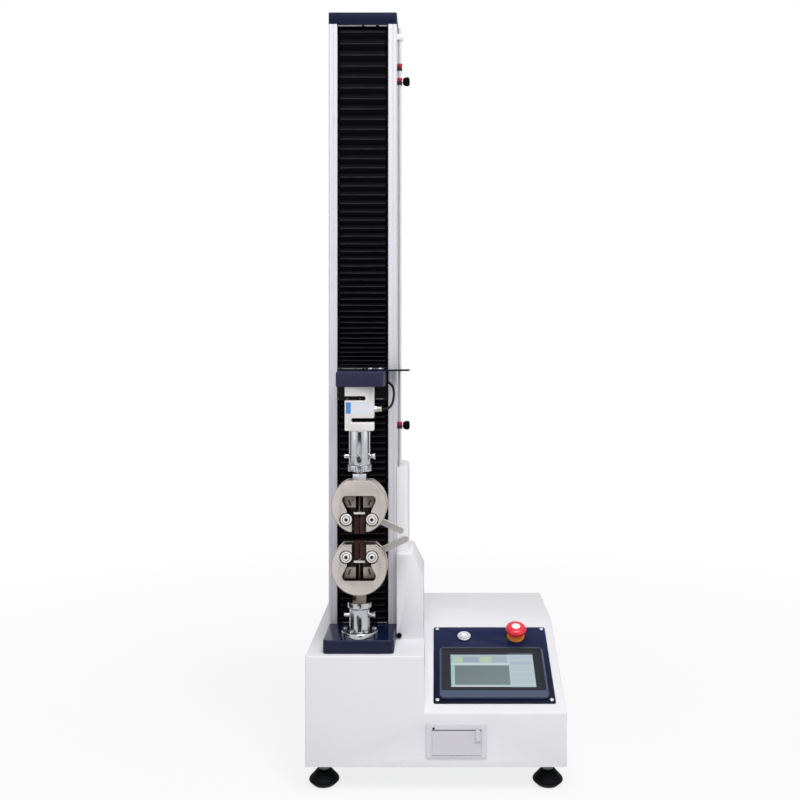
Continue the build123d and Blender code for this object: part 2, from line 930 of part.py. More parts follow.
# Guides of the limit rod, the switch below it and the bush at the foot of the casing
rod_place = (limit_rod_x, limit_rod_y)
casing_inner_left = casing_left + casing_wall
casing_guide_z = casing_top_z - casing_wall - guide_height / 2
guide_seats = (
    (casing_inner_left, lower_guide_z),
    (casing_inner_left, casing_guide_z),
    (column_right, upper_guide_z),
)
with BuildPart() as rod_guides:
    for seat_x, guide_z in guide_seats:
        slab(
            (seat_x, limit_rod_x + guide_size / 2),
            (limit_rod_y - guide_size / 2, limit_rod_y + guide_size / 2),
            (guide_z - guide_height / 2, guide_z + guide_height / 2),
        )
    post(
        rod_place,
        limit_rod_radius + running_fit,
        (limit_rod_bottom, column_top),
        mode=Mode.SUBTRACT,
    )
    slab(
        (casing_inner_left, casing_inner_left + switch_width),
        (limit_rod_y - switch_width, limit_rod_y + switch_width),
        (limit_rod_bottom - switch_travel - switch_height, limit_rod_bottom - switch_travel),
    )
    with BuildSketch(facing_front(casing_front)):
        with Locations(casing_bush_place):
            Circle(casing_bush_radius)
    extrude(amount=casing_bush_rise)
    with BuildSketch(facing_front(casing_front)):
        with Locations(casing_bush_place):
            Circle(casing_bush_neck_radius)
    extrude(amount=-casing_bush_neck_length)
finish(rod_guides, "rod_guides")

# Limit rod with rounded ends
with BuildPart() as limit_rod:
    post(rod_place, limit_rod_radius, (limit_rod_bottom, limit_rod_top))
    chamfer(limit_rod.edges().filter_by(GeomType.CIRCLE), length=plate_edge)
finish(limit_rod, "limit_rod")


def stop_ring(height):
    """A clamp ring on the limit rod, with a cross hole for its thumb knob."""
    with BuildPart() as ring:
        post(rod_place, ring_radius, (height - ring_height / 2, height + ring_height / 2))
        chamfer(ring.edges().filter_by(GeomType.CIRCLE), length=plate_edge / 2)
        bore = (height - ring_height, height + ring_height)
        post(rod_place, limit_rod_radius + running_fit, bore, mode=Mode.SUBTRACT)
        with Locations((limit_rod_x + ring_radius, limit_rod_y, height)):
            Cylinder(
                knob_stem_radius + running_fit,
                ring_radius,
                rotation=(0, 90, 0),
                mode=Mode.SUBTRACT,
            )
    return ring


def thumb_knob(height):
    """A black knob whose stem reaches through the ring towards the rod."""
    stem_start = limit_rod_radius + seat_gap
    knob_start = ring_radius + knob_gap
    with BuildPart() as knob:
        with BuildSketch(Plane(origin=(*rod_place, height), x_dir=(1, 0, 0), z_dir=(0, -1, 0))):
            with BuildLine():
                Polyline(
                    (stem_start, 0),
                    (stem_start, knob_stem_radius),
                    (knob_start, knob_stem_radius),
                    (knob_start, knob_neck_radius),
                    (knob_start + knob_neck_length, knob_radius),
                    (knob_start + knob_length - plate_edge, knob_radius),
                    (knob_start + knob_length, knob_radius - plate_edge),
                    (knob_start + knob_length, 0),
                    close=True,
                )
            make_face()
        revolve(axis=Axis((*rod_place, height), (1, 0, 0)))
    return knob


finish(stop_ring(top_ring_z), "top_stop_ring")
finish(stop_ring(upper_ring_z), "upper_stop_ring")
finish(stop_ring(lower_ring_z), "lower_stop_ring")
finish(thumb_knob(upper_ring_z), "upper_ring_knob")
finish(thumb_knob(lower_ring_z), "lower_ring_knob")

# Crosshead carriage: plate in the slot, saddle behind the lips, bushes and ball nut
saddle_front = column_front + slot_lip_depth + moving_gap
plate_half_width = slot_width / 2 - carriage_side_gap
with BuildPart() as carriage_plate:
    slab(
        (column_x - plate_half_width, column_x + plate_half_width),
        (column_front, saddle_front),
        (carriage_z, carriage_top),
    )
    slab(
        (column_x - saddle_width / 2, column_x + saddle_width / 2),
        (saddle_front, saddle_back),
        (carriage_z, carriage_top),
    )
    for place in rod_places:
        post(place, bush_radius, (carriage_z - overrun, carriage_top + overrun), mode=Mode.SUBTRACT)
    post(screw_axis, nut_radius, (carriage_z - overrun, carriage_top + overrun), mode=Mode.SUBTRACT)
with BuildPart() as linear_bushes:
    for place in rod_places:
        post(place, bush_radius, (carriage_z, carriage_top))
        bore = (carriage_z - overrun, carriage_top + overrun)
        post(place, rod_radius + running_fit, bore, mode=Mode.SUBTRACT)
with BuildPart() as ball_nut:
    post(screw_axis, nut_radius, (carriage_z, carriage_top))
    post(screw_axis, nut_flange_radius, (carriage_z - nut_flange_height, carriage_z))
    post(
        screw_axis,
        screw_radius + running_fit,
        (carriage_z - nut_flange_height - overrun, carriage_top + overrun),
        mode=Mode.SUBTRACT,
    )
finish_group((carriage_plate, linear_bushes, ball_nut), "crosshead_carriage")

# Crosshead arm
with BuildPart() as crosshead_arm:
    with BuildSketch(level(arm_z)) as arm_plan:
        with Locations(((arm_left + arm_right) / 2, (arm_front + column_front) / 2)):
            Rectangle(arm_right - arm_left, column_front - arm_front)
        fillet(arm_plan.vertices().group_by(Axis.Y)[0], radius=arm_corner)
    extrude(amount=arm_height)
    chamfer(
        crosshead_arm.faces().filter_by(Axis.Z).edges().filter_by(lambda e: e.center().Y < column_front - arm_edge),
        length=arm_edge,
    )
finish(crosshead_arm, "crosshead_arm")

# Striker plate on the arm, with the hole that runs along the limit rod
with BuildPart() as striker_plate:
    with BuildSketch(level(arm_top)) as striker_plan:
        with BuildLine():
            Polyline(
                (striker_left, striker_front),
                (striker_right, striker_front),
                (striker_right, striker_rear),
                (column_right + moving_gap, striker_rear),
                (column_right + moving_gap, column_front - moving_gap),
                (striker_left, column_front - moving_gap),
                close=True,
            )
        make_face()
        fillet(striker_plan.vertices().group_by(Axis.X)[-1], radius=striker_corner)
        with Locations(rod_place):
            Circle(limit_rod_radius + moving_gap, mode=Mode.SUBTRACT)
    extrude(amount=striker_thickness)
with BuildPart() as striker_screws:
    for screw in range(2):
        place = (striker_screw_x + screw * striker_screw_pitch, striker_screw_y)
        post(place, striker_screw_radius, (striker_top, striker_top + striker_screw_height))
    chamfer(striker_screws.edges().group_by(Axis.Z)[-1], length=plate_edge)
finish_group((striker_plate, striker_screws), "striker_plate")


def bellows(low, high, folds, ratio):
    """A folded bellows as one closed bar, its pitch growing with height by a ratio."""
    front = column_front + bellows_front_set_back
    back = front + bellows_depth

    def height(step):
        share = (step + (ratio - 1) * step * step / (2 * folds)) / (folds * (1 + ratio) / 2)
        return low + (high - low) * share

    crests_and_valleys = []
    for fold in range(folds):
        crests_and_valleys.append((front + fold_depth, height(fold)))
        crests_and_valleys.append((front, height(fold + 0.5)))
    crests_and_valleys.append((front + fold_depth, height(folds)))
    with BuildPart() as folded:
        with BuildSketch(facing_right(column_x - bellows_width / 2)):
            with BuildLine():
                Polyline(*crests_and_valleys, (back, high), (back, low), close=True)
            make_face()
        extrude(amount=bellows_width)
    return folded


upper_bellows_low = carriage_top + frame_thickness + seat_gap
upper_bellows_high = column_top - frame_thickness
lower_bellows_low = block_top + frame_thickness
lower_bellows_high = carriage_z - frame_thickness - seat_gap
finish(bellows(upper_bellows_low, upper_bellows_high, upper_fold_count, upper_pitch_ratio), "upper_bellows")
finish(bellows(lower_bellows_low, lower_bellows_high, lower_fold_count, lower_pitch_ratio), "lower_bellows")


def end_frames(lows):
    """Flat frames that clamp the ends of the bellows, each from its lower height."""
    with BuildPart() as frames:
        for low in lows:
            slab(
                (column_x - bellows_width / 2, column_x + bellows_width / 2),
                (column_front, column_front + bellows_front_set_back + bellows_depth),
                (low, low + frame_thickness),
            )
    return frames


finish(end_frames((block_top, column_top - frame_thickness)), "column_bellows_frames")
finish(end_frames((carriage_z - frame_thickness, carriage_top)), "crosshead_bellows_frames")

# Load cell: an S-shaped block hung under the arm
cell_bottom = arm_z - cell_height
cell_left = column_x - cell_width / 2
cell_right = column_x + cell_width / 2
upper_slot_z = arm_z - cell_bar_height - cell_slot_height / 2
lower_slot_z = cell_bottom + cell_lower_bar + cell_slot_height / 2
upper_slot_end = cell_right - cell_slot_wall
lower_slot_end = cell_left + cell_lower_slot_wall
with BuildPart() as load_cell:
    with BuildSketch(facing_front(axis_y + cell_thickness / 2)) as cell_face:
        with Locations((column_x, arm_z - cell_height / 2)):
            Rectangle(cell_width, cell_height)
        fillet(cell_face.vertices(), radius=cell_corner)
        with Locations(((cell_left - overrun + upper_slot_end) / 2, upper_slot_z)):
            SlotOverall(upper_slot_end - cell_left + overrun, cell_slot_height, mode=Mode.SUBTRACT)
        with Locations(((cell_left - overrun) / 2 + cell_left / 2, upper_slot_z)):
            Rectangle(2 * overrun, cell_slot_height, mode=Mode.SUBTRACT)
        with Locations(((cell_right + overrun + lower_slot_end) / 2, lower_slot_z)):
            SlotOverall(cell_right + overrun - lower_slot_end, cell_slot_height, mode=Mode.SUBTRACT)
        with Locations(((cell_right + overrun) / 2 + cell_right / 2, lower_slot_z)):
            Rectangle(2 * overrun, cell_slot_height, mode=Mode.SUBTRACT)
    extrude(amount=cell_thickness)
finish(load_cell, "load_cell")

# Cable gland on the right side of the load cell
with BuildPart() as load_cell_gland:
    with BuildSketch(Plane(origin=(cell_right, axis_y, gland_z), x_dir=(0, 1, 0), z_dir=(1, 0, 0))):
        RegularPolygon(gland_radius, 6)
    extrude(amount=gland_hex_length)
    with BuildSketch(Plane(origin=(cell_right, axis_y, gland_z), x_dir=(0, 1, 0), z_dir=(1, 0, 0))):
        Circle(gland_radius * sin(pi / 3))
    extrude(amount=gland_length)
    chamfer(load_cell_gland.edges().sort_by(Axis.X)[-1], length=plate_edge)
finish(load_cell_gland, "load_cell_gland")

# Free lead from the gland into the side of the arm, straight runs joined by arcs
lead_route = [
    (-98.0, -179.0, 671.0),
    (-87.0, -179.0, 671.0),
    (-79.5, -171.5, 678.0),
    (-76.5, -156.0, 692.5),
    (-78.0, -140.5, 706.0),
    (-82.5, -130.0, 714.5),
    (-95.0, -121.5, 721.5),
]
lead_points = [Vector(*point) for point in lead_route]
lead_radii = []
for before, corner, after in zip(lead_points, lead_points[1:], lead_points[2:]):
    turn = radians((corner - before).get_angle(after - corner))
    shorter = min((corner - before).length, (after - corner).length)
    lead_radii.append(lead_bend_share * shorter / tan(turn / 2))
print("lead radii", [round(radius, 1) for radius in lead_radii])
with BuildPart() as load_cell_lead:
    with BuildLine() as lead_path:
        FilletPolyline(*lead_points, radius=lead_radii)
    with BuildSketch(Plane(origin=lead_points[0], z_dir=lead_points[1] - lead_points[0])):
        Circle(lead_radius)
    sweep(path=lead_path.wires()[0])
lead_length = lead_path.wires()[0].length
print(
    "lead length",
    round(lead_length, 1),
    "volume over section times length",
    round(load_cell_lead.part.volume / (pi * lead_radius**2 * lead_length), 4),
)
finish(load_cell_lead, "load_cell_lead")

# Upper coupling: a bored socket under the load cell
socket_bottom = cell_bottom - socket_length
socket_bore = spigot_radius + running_fit
with BuildPart() as upper_socket:
    post(loading_axis, socket_radius, (socket_bottom, cell_bottom))
    chamfer(upper_socket.edges().filter_by(GeomType.CIRCLE), length=socket_edge)
    post(
        loading_axis,
        socket_bore,
        (socket_bottom - overrun, socket_bottom - lock_ring_height + spigot_length + seat_gap),
        mode=Mode.SUBTRACT,
    )
    with Locations((column_x, axis_y, upper_pin_z)):
        Cylinder(cross_pin_radius + running_fit, 4 * socket_radius, rotation=(0, 90, 0), mode=Mode.SUBTRACT)
    with Locations((column_x, axis_y - socket_radius, upper_pin_z)):
        Cylinder(sight_hole_radius, 2 * sight_hole_depth, rotation=(90, 0, 0), mode=Mode.SUBTRACT)
finish(upper_socket, "upper_socket")


def stud(spigot_low, spigot_high, stud_low, stud_high, pin_z):
    """A spigot with its cross hole and a thinner stud that screws into the grip."""
    with BuildPart() as turned:
        post(loading_axis, spigot_radius, (spigot_low, spigot_high))
        post(loading_axis, stud_radius, (stud_low, stud_high))
        with Locations((column_x, axis_y, pin_z)):
            Cylinder(cross_pin_radius + running_fit, 4 * spigot_radius, rotation=(0, 90, 0), mode=Mode.SUBTRACT)
    return turned


def hex_nut(low, height):
    """A plain hexagon nut on the stud, flats to the front."""
    with BuildPart() as nut:
        with BuildSketch(level(low)):
            with Locations(loading_axis):
                RegularPolygon(hex_across_flats / 2, 6, major_radius=False, rotation=30)
                Circle(stud_radius, mode=Mode.SUBTRACT)
        extrude(amount=height)
    return nut


upper_grip_top = upper_pivot_z + upper_far_reach
lower_grip_bottom = lower_pivot_z - lower_far_reach
lock_ring_bottom = socket_bottom - lock_ring_height
with BuildPart() as lock_ring:
    post(loading_axis, lock_ring_radius, (lock_ring_bottom, socket_bottom))
    post(loading_axis, socket_bore, (lock_ring_bottom - overrun, socket_bottom + overrun), mode=Mode.SUBTRACT)
    with Locations((column_x, axis_y, lock_ring_bottom + lock_ring_height / 2)):
        with PolarLocations(lock_ring_radius, lock_ring_groove_count):
            Cylinder(lock_ring_groove_radius, 2 * lock_ring_height, mode=Mode.SUBTRACT)
upper_stud = stud(
    lock_ring_bottom,
    lock_ring_bottom + spigot_length,
    upper_grip_top - stud_grip_length,
    lock_ring_bottom,
    upper_pin_z,
)
finish_group((upper_stud, lock_ring, hex_nut(upper_grip_top, upper_hex_height)), "upper_stud")

# Lower coupling: a flanged socket on the base block, with its screws
lower_socket_top = block_top + lower_socket_length
with BuildPart() as lower_socket:
    with BuildSketch(Plane(origin=(*loading_axis, block_top), x_dir=(1, 0, 0), z_dir=(0, -1, 0))):
        with BuildLine():
            Polyline(
                (0, 0),
                (flange_radius, 0),
                (flange_radius, flange_height - plate_edge),
                (flange_radius - plate_edge, flange_height),
                (lower_body_radius, flange_height),
                (lower_body_radius, lower_socket_length - rim_height - rim_taper),
                (rim_radius, lower_socket_length - rim_height),
                (rim_radius, lower_socket_length),
                (0, lower_socket_length),
                close=True,
            )
        make_face()
    revolve(axis=Axis((*loading_axis, 0), (0, 0, 1)))
    post(loading_axis, socket_bore, (block_top + spigot_floor, lower_socket_top + overrun), mode=Mode.SUBTRACT)
    with Locations((column_x, axis_y, lower_pin_z)):
        Cylinder(cross_pin_radius + running_fit, 4 * lower_body_radius, rotation=(0, 90, 0), mode=Mode.SUBTRACT)
    with Locations((column_x, axis_y - lower_body_radius, lower_pin_z)):
        Cylinder(sight_hole_radius, 2 * sight_hole_depth, rotation=(90, 0, 0), mode=Mode.SUBTRACT)
flange_top = block_top + flange_height
with BuildPart() as flange_screw_heads:
    with Locations((column_x, axis_y, flange_top + flange_screw_height / 2)):
        with PolarLocations(flange_screw_circle, flange_screw_count):
            Cylinder(flange_screw_radius, flange_screw_height)
    with Locations((column_x, axis_y, flange_top + flange_screw_height)):
        with PolarLocations(flange_screw_circle, flange_screw_count):
            Cylinder(flange_screw_radius / 2, 2 * flange_screw_socket, mode=Mode.SUBTRACT)
finish_group((lower_socket, flange_screw_heads), "lower_socket")
lower_stud = stud(
    block_top + spigot_floor,
    lower_socket_top,
    lower_socket_top,
    lower_grip_bottom + stud_grip_length,
    lower_pin_z,
)
finish_group((lower_stud, hex_nut(lower_grip_bottom - lower_hex_height, lower_hex_height)), "lower_stud")


def cross_pin(height):
    """A pull-out pin across the coupling, with a flared head on the right."""
    with BuildPart() as pin:
        with BuildSketch(Plane(origin=(column_x, axis_y, height), x_dir=(1, 0, 0), z_dir=(0, -1, 0))):
            with BuildLine():
                Polyline(
                    (-cross_pin_length / 2, 0),
                    (-cross_pin_length / 2, cross_pin_radius - cross_pin_tip / 2),
                    (-cross_pin_length / 2 + cross_pin_tip, cross_pin_radius),
                    (cross_pin_length / 2 - cross_pin_head_length, cross_pin_radius),
                    (cross_pin_length / 2 - plate_edge, cross_pin_head_radius),
                    (cross_pin_length / 2, cross_pin_head_radius - plate_edge),
                    (cross_pin_length / 2, 0),
                    close=True,
                )
            make_face()
        revolve(axis=Axis((column_x, axis_y, height), (1, 0, 0)))
    return pin


finish(cross_pin(upper_pin_z), "upper_cross_pin")
finish(cross_pin(lower_pin_z), "lower_cross_pin")

# Depths of the layers in a grip, from the front plate to the back plate
jaw_front_y = axis_y - jaw_thickness / 2
jaw_back_y = axis_y + jaw_thickness / 2
plate_inner_y = grip_front + front_plate_thickness
lever_front_y = jaw_back_y + moving_gap
lever_back_y = lever_front_y + lever_thickness
back_plate_y = lever_back_y + moving_gap
grip_back_y = back_plate_y + back_plate_thickness
pivot_head_y = grip_front + pivot_recess_depth - pivot_head_height


def grip_plane(pivot_z, way, y):
    """The working plane of a grip: X across and Y away from the jaw tips."""
    return Plane(origin=(column_x, y, pivot_z), x_dir=(way, 0, 0), z_dir=(0, -1, 0))


def grip_body(pivot_z, way, disc_rise, far_reach):
    """A disc-shaped clevis with the window that shows its two jaws."""
    thickness = grip_back_y - grip_front
    with BuildPart() as body:
        with BuildSketch(grip_plane(pivot_z, way, grip_back_y)):
            with Locations((0, disc_rise)):
                Circle(grip_radius)
            with Locations((0, (far_reach - near_reach) / 2)):
                Rectangle(2 * grip_radius, far_reach + near_reach, mode=Mode.INTERSECT)
        extrude(amount=thickness)
        with BuildSketch(grip_plane(pivot_z, way, back_plate_y)):
            with Locations((0, (slot_reach - near_reach - overrun) / 2)):
                Rectangle(2 * grip_radius + 2 * overrun, slot_reach + near_reach + overrun)
        extrude(amount=back_plate_y - plate_inner_y, mode=Mode.SUBTRACT)
        with BuildSketch(grip_plane(pivot_z, way, plate_inner_y + overrun)) as window:
            with BuildLine():
                Polyline(
                    (-window_throat, -near_reach - overrun),
                    (window_throat, -near_reach - overrun),
                    (window_throat, 0),
                    (window_neck, window_neck_height),
                    (window_neck, window_bend_height),
                    (window_half_width, window_shoulder),
                    (window_half_width, window_top),
                    (-window_half_width, window_top),
                    (-window_half_width, window_shoulder),
                    (-window_neck, window_bend_height),
                    (-window_neck, window_neck_height),
                    (-window_throat, 0),
                    close=True,
                )
            make_face()
            far_corners = window.vertices().sort_by(Axis.Z)
            far_corners = far_corners[-4:] if way > 0 else far_corners[:4]
            fillet(far_corners, radius=window_corner)
        extrude(amount=front_plate_thickness + 2 * overrun, mode=Mode.SUBTRACT)
        with BuildSketch(grip_plane(pivot_z, way, grip_front + pivot_recess_depth)):
            with Locations((-pivot_offset, 0), (pivot_offset, 0)):
                Circle(pivot_recess_radius)
        extrude(amount=pivot_recess_depth + overrun, mode=Mode.SUBTRACT)
        with BuildSketch(grip_plane(pivot_z, way, grip_back_y + overrun)):
            with Locations((-pivot_offset, 0), (pivot_offset, 0)):
                Circle(pivot_radius)
        extrude(amount=thickness + 2 * overrun, mode=Mode.SUBTRACT)
        far_end = pivot_z + way * far_reach
        stud_hole = sorted((far_end - way * stud_grip_length, far_end + way * overrun))
        post(loading_axis, stud_radius + running_fit, stud_hole, mode=Mode.SUBTRACT)
    with BuildPart() as pivots:
        with BuildSketch(grip_plane(pivot_z, way, grip_back_y)):
            with Locations((-pivot_offset, 0), (pivot_offset, 0)):
                Circle(pivot_radius)
        extrude(amount=thickness - pivot_recess_depth)
        with BuildSketch(grip_plane(pivot_z, way, grip_front + pivot_recess_depth)):
            with Locations((-pivot_offset, 0), (pivot_offset, 0)):
                Circle(pivot_head_radius)
        extrude(amount=pivot_head_height)
        with BuildSketch(grip_plane(pivot_z, way, pivot_head_y)):
            with Locations((-pivot_offset, 0), (pivot_offset, 0)):
                Circle(pivot_cap_radius)
        extrude(amount=pivot_cap_height)
        with BuildSketch(grip_plane(pivot_z, way, pivot_head_y - pivot_cap_height)):
            with Locations((-pivot_offset, 0), (pivot_offset, 0)):
                RegularPolygon(pivot_hex_across / 2, 6, major_radius=False)
        extrude(amount=-pivot_hex_depth, mode=Mode.SUBTRACT)
    with BuildPart() as stop_bar:
        with BuildSketch(grip_plane(pivot_z, way, jaw_front_y - moving_gap)):
            with Locations((0, stop_bar_level + stop_bar_height / 2)):
                Rectangle(2 * stop_bar_half_width, stop_bar_height)
        extrude(amount=stop_bar_thickness)
        with BuildSketch(grip_plane(pivot_z, way, jaw_back_y - plate_edge)):
            with Locations((0, (stop_bar_level + slot_reach) / 2)):
                Rectangle(stop_stem_width, slot_reach - stop_bar_level)
        extrude(amount=jaw_thickness)
    return body, pivots, stop_bar


def jaw(pivot_z, way, side):
    """One serrated jaw: gripping face, pivot lobe and the tail seen in the window."""
    face_x = jaw_face_gap / 2
    teeth = []
    for tooth in range(tooth_count):
        teeth.append((face_x + tooth_depth, -jaw_reach + tooth * tooth_pitch))
        teeth.append((face_x, -jaw_reach + (tooth + 0.5) * tooth_pitch))
    outline = [
        *teeth,
        (face_x, 0),
        (shank_low_inner, shank_low_height),
        (shank_inner, shank_height),
        (tail_inner, tail_bottom),
        (tail_inner, tail_top),
        (tail_outer, tail_top),
        (tail_outer, tail_shoulder),
        (shank_outer, shank_low_height),
        (pivot_offset, jaw_lobe_radius - plate_edge),
        (pivot_offset, -jaw_lobe_radius + plate_edge),
        (jaw_half_width, -jaw_lobe_radius - shank_inner),
        (jaw_half_width, -jaw_reach),
    ]
    with BuildPart() as arm:
        with BuildSketch(grip_plane(pivot_z, way, jaw_back_y)) as arm_face:
            with BuildLine():
                Polyline(*[(side * way * x, h) for x, h in outline], close=True)
            make_face()
            with Locations((side * way * pivot_offset, 0)):
                Circle(jaw_lobe_radius)
        extrude(amount=jaw_thickness)
        if side < 0:
            with BuildSketch(grip_plane(pivot_z, way, lever_back_y)):
                with Locations((side * way * pivot_offset, 0)):
                    Circle(jaw_lobe_radius)
            extrude(amount=lever_back_y - jaw_back_y)
        with BuildSketch(grip_plane(pivot_z, way, grip_back_y)):
            with Locations((side * way * pivot_offset, 0)):
                Circle(pivot_radius + running_fit)
        extrude(amount=grip_back_y - grip_front, mode=Mode.SUBTRACT)
    return arm


def jaw_lever(pivot_z, way, reach):
    """The flat release lever on the pivot of the right jaw, with a rounded end."""
    eye = (way * pivot_offset, 0)
    end = (
        way * (pivot_offset + reach * cos(radians(lever_angle))),
        -reach * sin(radians(lever_angle)),
    )
    with BuildPart() as lever:
        with BuildSketch(grip_plane(pivot_z, way, lever_back_y)):
            with Locations(((eye[0] + end[0]) / 2, end[1] / 2)):
                SlotCenterToCenter(reach, lever_width, rotation=-way * lever_angle)
            with Locations(eye):
                Circle(jaw_lobe_radius)
                Circle(pivot_radius + running_fit, mode=Mode.SUBTRACT)
        extrude(amount=lever_thickness)
    return lever


grips = (
    ("upper", upper_pivot_z, 1, upper_disc_rise, upper_far_reach, upper_lever_reach),
    ("lower", lower_pivot_z, -1, lower_disc_rise, lower_far_reach, lower_lever_reach),
)
for name, pivot_z, way, disc_rise, far_reach, lever_reach in grips:
    finish_group(grip_body(pivot_z, way, disc_rise, far_reach), f"{name}_grip_body")
    finish(jaw(pivot_z, way, -1), f"{name}_left_jaw")
    finish(jaw(pivot_z, way, 1), f"{name}_right_jaw")
    finish(jaw_lever(pivot_z, way, lever_reach), f"{name}_grip_lever")

# Control panel plate on the slope, with cut-outs for what is mounted through it
housing_middle = screen_housing_start + screen_housing_height / 2
panel_middle = panel_start + panel_length / 2
with BuildPart() as control_panel_plate:
    with BuildSketch(on_slope(panel_x, panel_middle)):
        RectangleRounded(panel_width, panel_length, panel_corner)
        with Locations((0, housing_middle - panel_middle)):
            Rectangle(
                screen_housing_width - 2 * screen_back_margin,
                screen_housing_height - 2 * screen_back_margin,
                mode=Mode.SUBTRACT,
            )
        with Locations(
            (-switch_offset, switch_row - panel_middle),
            (switch_offset, switch_row - panel_middle),
        ):
            Circle(switch_hole_radius, mode=Mode.SUBTRACT)
    extrude(amount=panel_thickness)
with BuildPart() as panel_screws:
    with BuildSketch(on_slope(panel_x, panel_middle, panel_thickness)):
        with GridLocations(panel_width - 2 * screw_inset, panel_length - 2 * screw_inset, 2, 2):
            Circle(panel_screw_radius)
    extrude(amount=panel_screw_height)
finish_group((control_panel_plate, panel_screws), "control_panel_plate")

# Touch-screen housing: rounded bezel on the panel, box behind it, seat for the glass
glass_middle = glass_start + glass_height / 2
recess_height = screen_housing_height - bezel_rim - bezel_foot
recess_middle = screen_housing_start + bezel_foot + recess_height / 2
with BuildPart() as touchscreen_housing:
    with BuildSketch(on_slope(panel_x, housing_middle, panel_thickness)):
        RectangleRounded(screen_housing_width, screen_housing_height, screen_housing_corner)
    extrude(amount=screen_housing_rise)
    chamfer(
        touchscreen_housing.faces().sort_by(Axis((0, 0, 0), tuple(on_slope(0, 0).z_dir)))[-1].edges(),
        length=bezel_edge,
    )
    with BuildSketch(on_slope(panel_x, housing_middle, panel_thickness)):
        Rectangle(
            screen_housing_width - 2 * screen_back_margin - 2 * seat_gap,
            screen_housing_height - 2 * screen_back_margin - 2 * seat_gap,
        )
    extrude(amount=-screen_housing_depth)
    with BuildSketch(on_slope(panel_x, recess_middle, panel_thickness + screen_housing_rise)):
        RectangleRounded(screen_housing_width - 2 * bezel_rim, recess_height, bezel_rim / 2)
    extrude(amount=-bezel_recess, mode=Mode.SUBTRACT)
    with BuildSketch(on_slope(panel_x, glass_middle, panel_thickness + screen_housing_rise)):
        Rectangle(glass_width, glass_height)
    extrude(amount=-(bezel_recess + glass_thickness), mode=Mode.SUBTRACT)
finish(touchscreen_housing, "touchscreen_housing")

with BuildPart() as touchscreen_glass:
    glass_rise = panel_thickness + screen_housing_rise - bezel_recess - glass_thickness
    with BuildSketch(on_slope(panel_x, glass_middle, glass_rise)):
        Rectangle(glass_width - 2 * running_fit, glass_height - 2 * running_fit)
    extrude(amount=glass_thickness)
finish(touchscreen_glass, "touchscreen_glass")

# Ring of the power button and collar of the emergency stop, both through the panel
with BuildPart() as power_button_ring:
    with BuildSketch(on_slope(button_x, switch_row, panel_thickness)):
        Circle(button_ring_radius)
    extrude(amount=button_ring_height)
    chamfer(power_button_ring.edges().sort_by(Axis.Z)[-1], length=plate_edge)
    with BuildSketch(on_slope(button_x, switch_row, panel_thickness)):
        Circle(switch_hole_radius - running_fit)
    extrude(amount=-button_tube_depth)
    with BuildSketch(on_slope(button_x, switch_row, panel_thickness - button_tube_depth + button_floor)):
        Circle(button_bore_radius)
    extrude(amount=button_tube_depth + button_ring_height, mode=Mode.SUBTRACT)
with BuildPart() as estop_collar:
    with BuildSketch(on_slope(estop_x, switch_row, panel_thickness)):
        Circle(collar_flange_radius)
    extrude(amount=collar_flange_height)
    with BuildSketch(on_slope(estop_x, switch_row, panel_thickness)):
        Circle(collar_radius)
    extrude(amount=collar_height)
    with BuildSketch(on_slope(estop_x, switch_row, panel_thickness)):
        Circle(switch_hole_radius - running_fit)
    extrude(amount=-collar_tube_depth)
    with BuildSketch(on_slope(estop_x, switch_row, panel_thickness - collar_tube_depth + button_floor)):
        Circle(collar_bore_radius)
    extrude(amount=collar_tube_depth + collar_height, mode=Mode.SUBTRACT)
finish_group((power_button_ring, estop_collar), "panel_switch_bodies")

# Power button: a slightly domed cap in its ring
button_top = panel_thickness + button_ring_height + button_rise
with BuildPart() as power_button:
    with BuildSketch(on_slope(button_x, switch_row, button_top - button_depth)):
        Circle(button_radius)
    extrude(amount=button_depth)
    chamfer(power_button.edges().sort_by(Axis.Z)[-1], length=plate_edge)
finish(power_button, "power_button")

# Emergency-stop head: stem, skirt and rounded mushroom
with BuildPart() as estop_head:
    with BuildSketch(on_slope(estop_x, switch_row, panel_thickness - estop_stem_depth)):
        Circle(estop_stem_radius)
    extrude(amount=estop_stem_depth + estop_head_base)
    head_plane = on_slope(estop_x, switch_row, panel_thickness + estop_head_base)
    head_middle = head_plane.origin
    head_up = head_plane.z_dir
    with BuildSketch(Plane(origin=head_middle, x_dir=(1, 0, 0), z_dir=head_plane.y_dir * -1)):
        with BuildLine():
            Polyline(
                (0, estop_head_height),
                (0, 0),
                (estop_head_radius - plate_edge, 0),
                (estop_head_radius, plate_edge),
                (estop_head_radius, estop_skirt_height),
            )
            Line((0, estop_head_height), (estop_top_radius, estop_head_height))
            TangentArc(
                (estop_head_radius, estop_skirt_height),
                (estop_top_radius, estop_head_height),
                tangent=(0, 1),
            )
        make_face()
    revolve(axis=Axis(head_middle, head_up))
finish(estop_head, "estop_head")

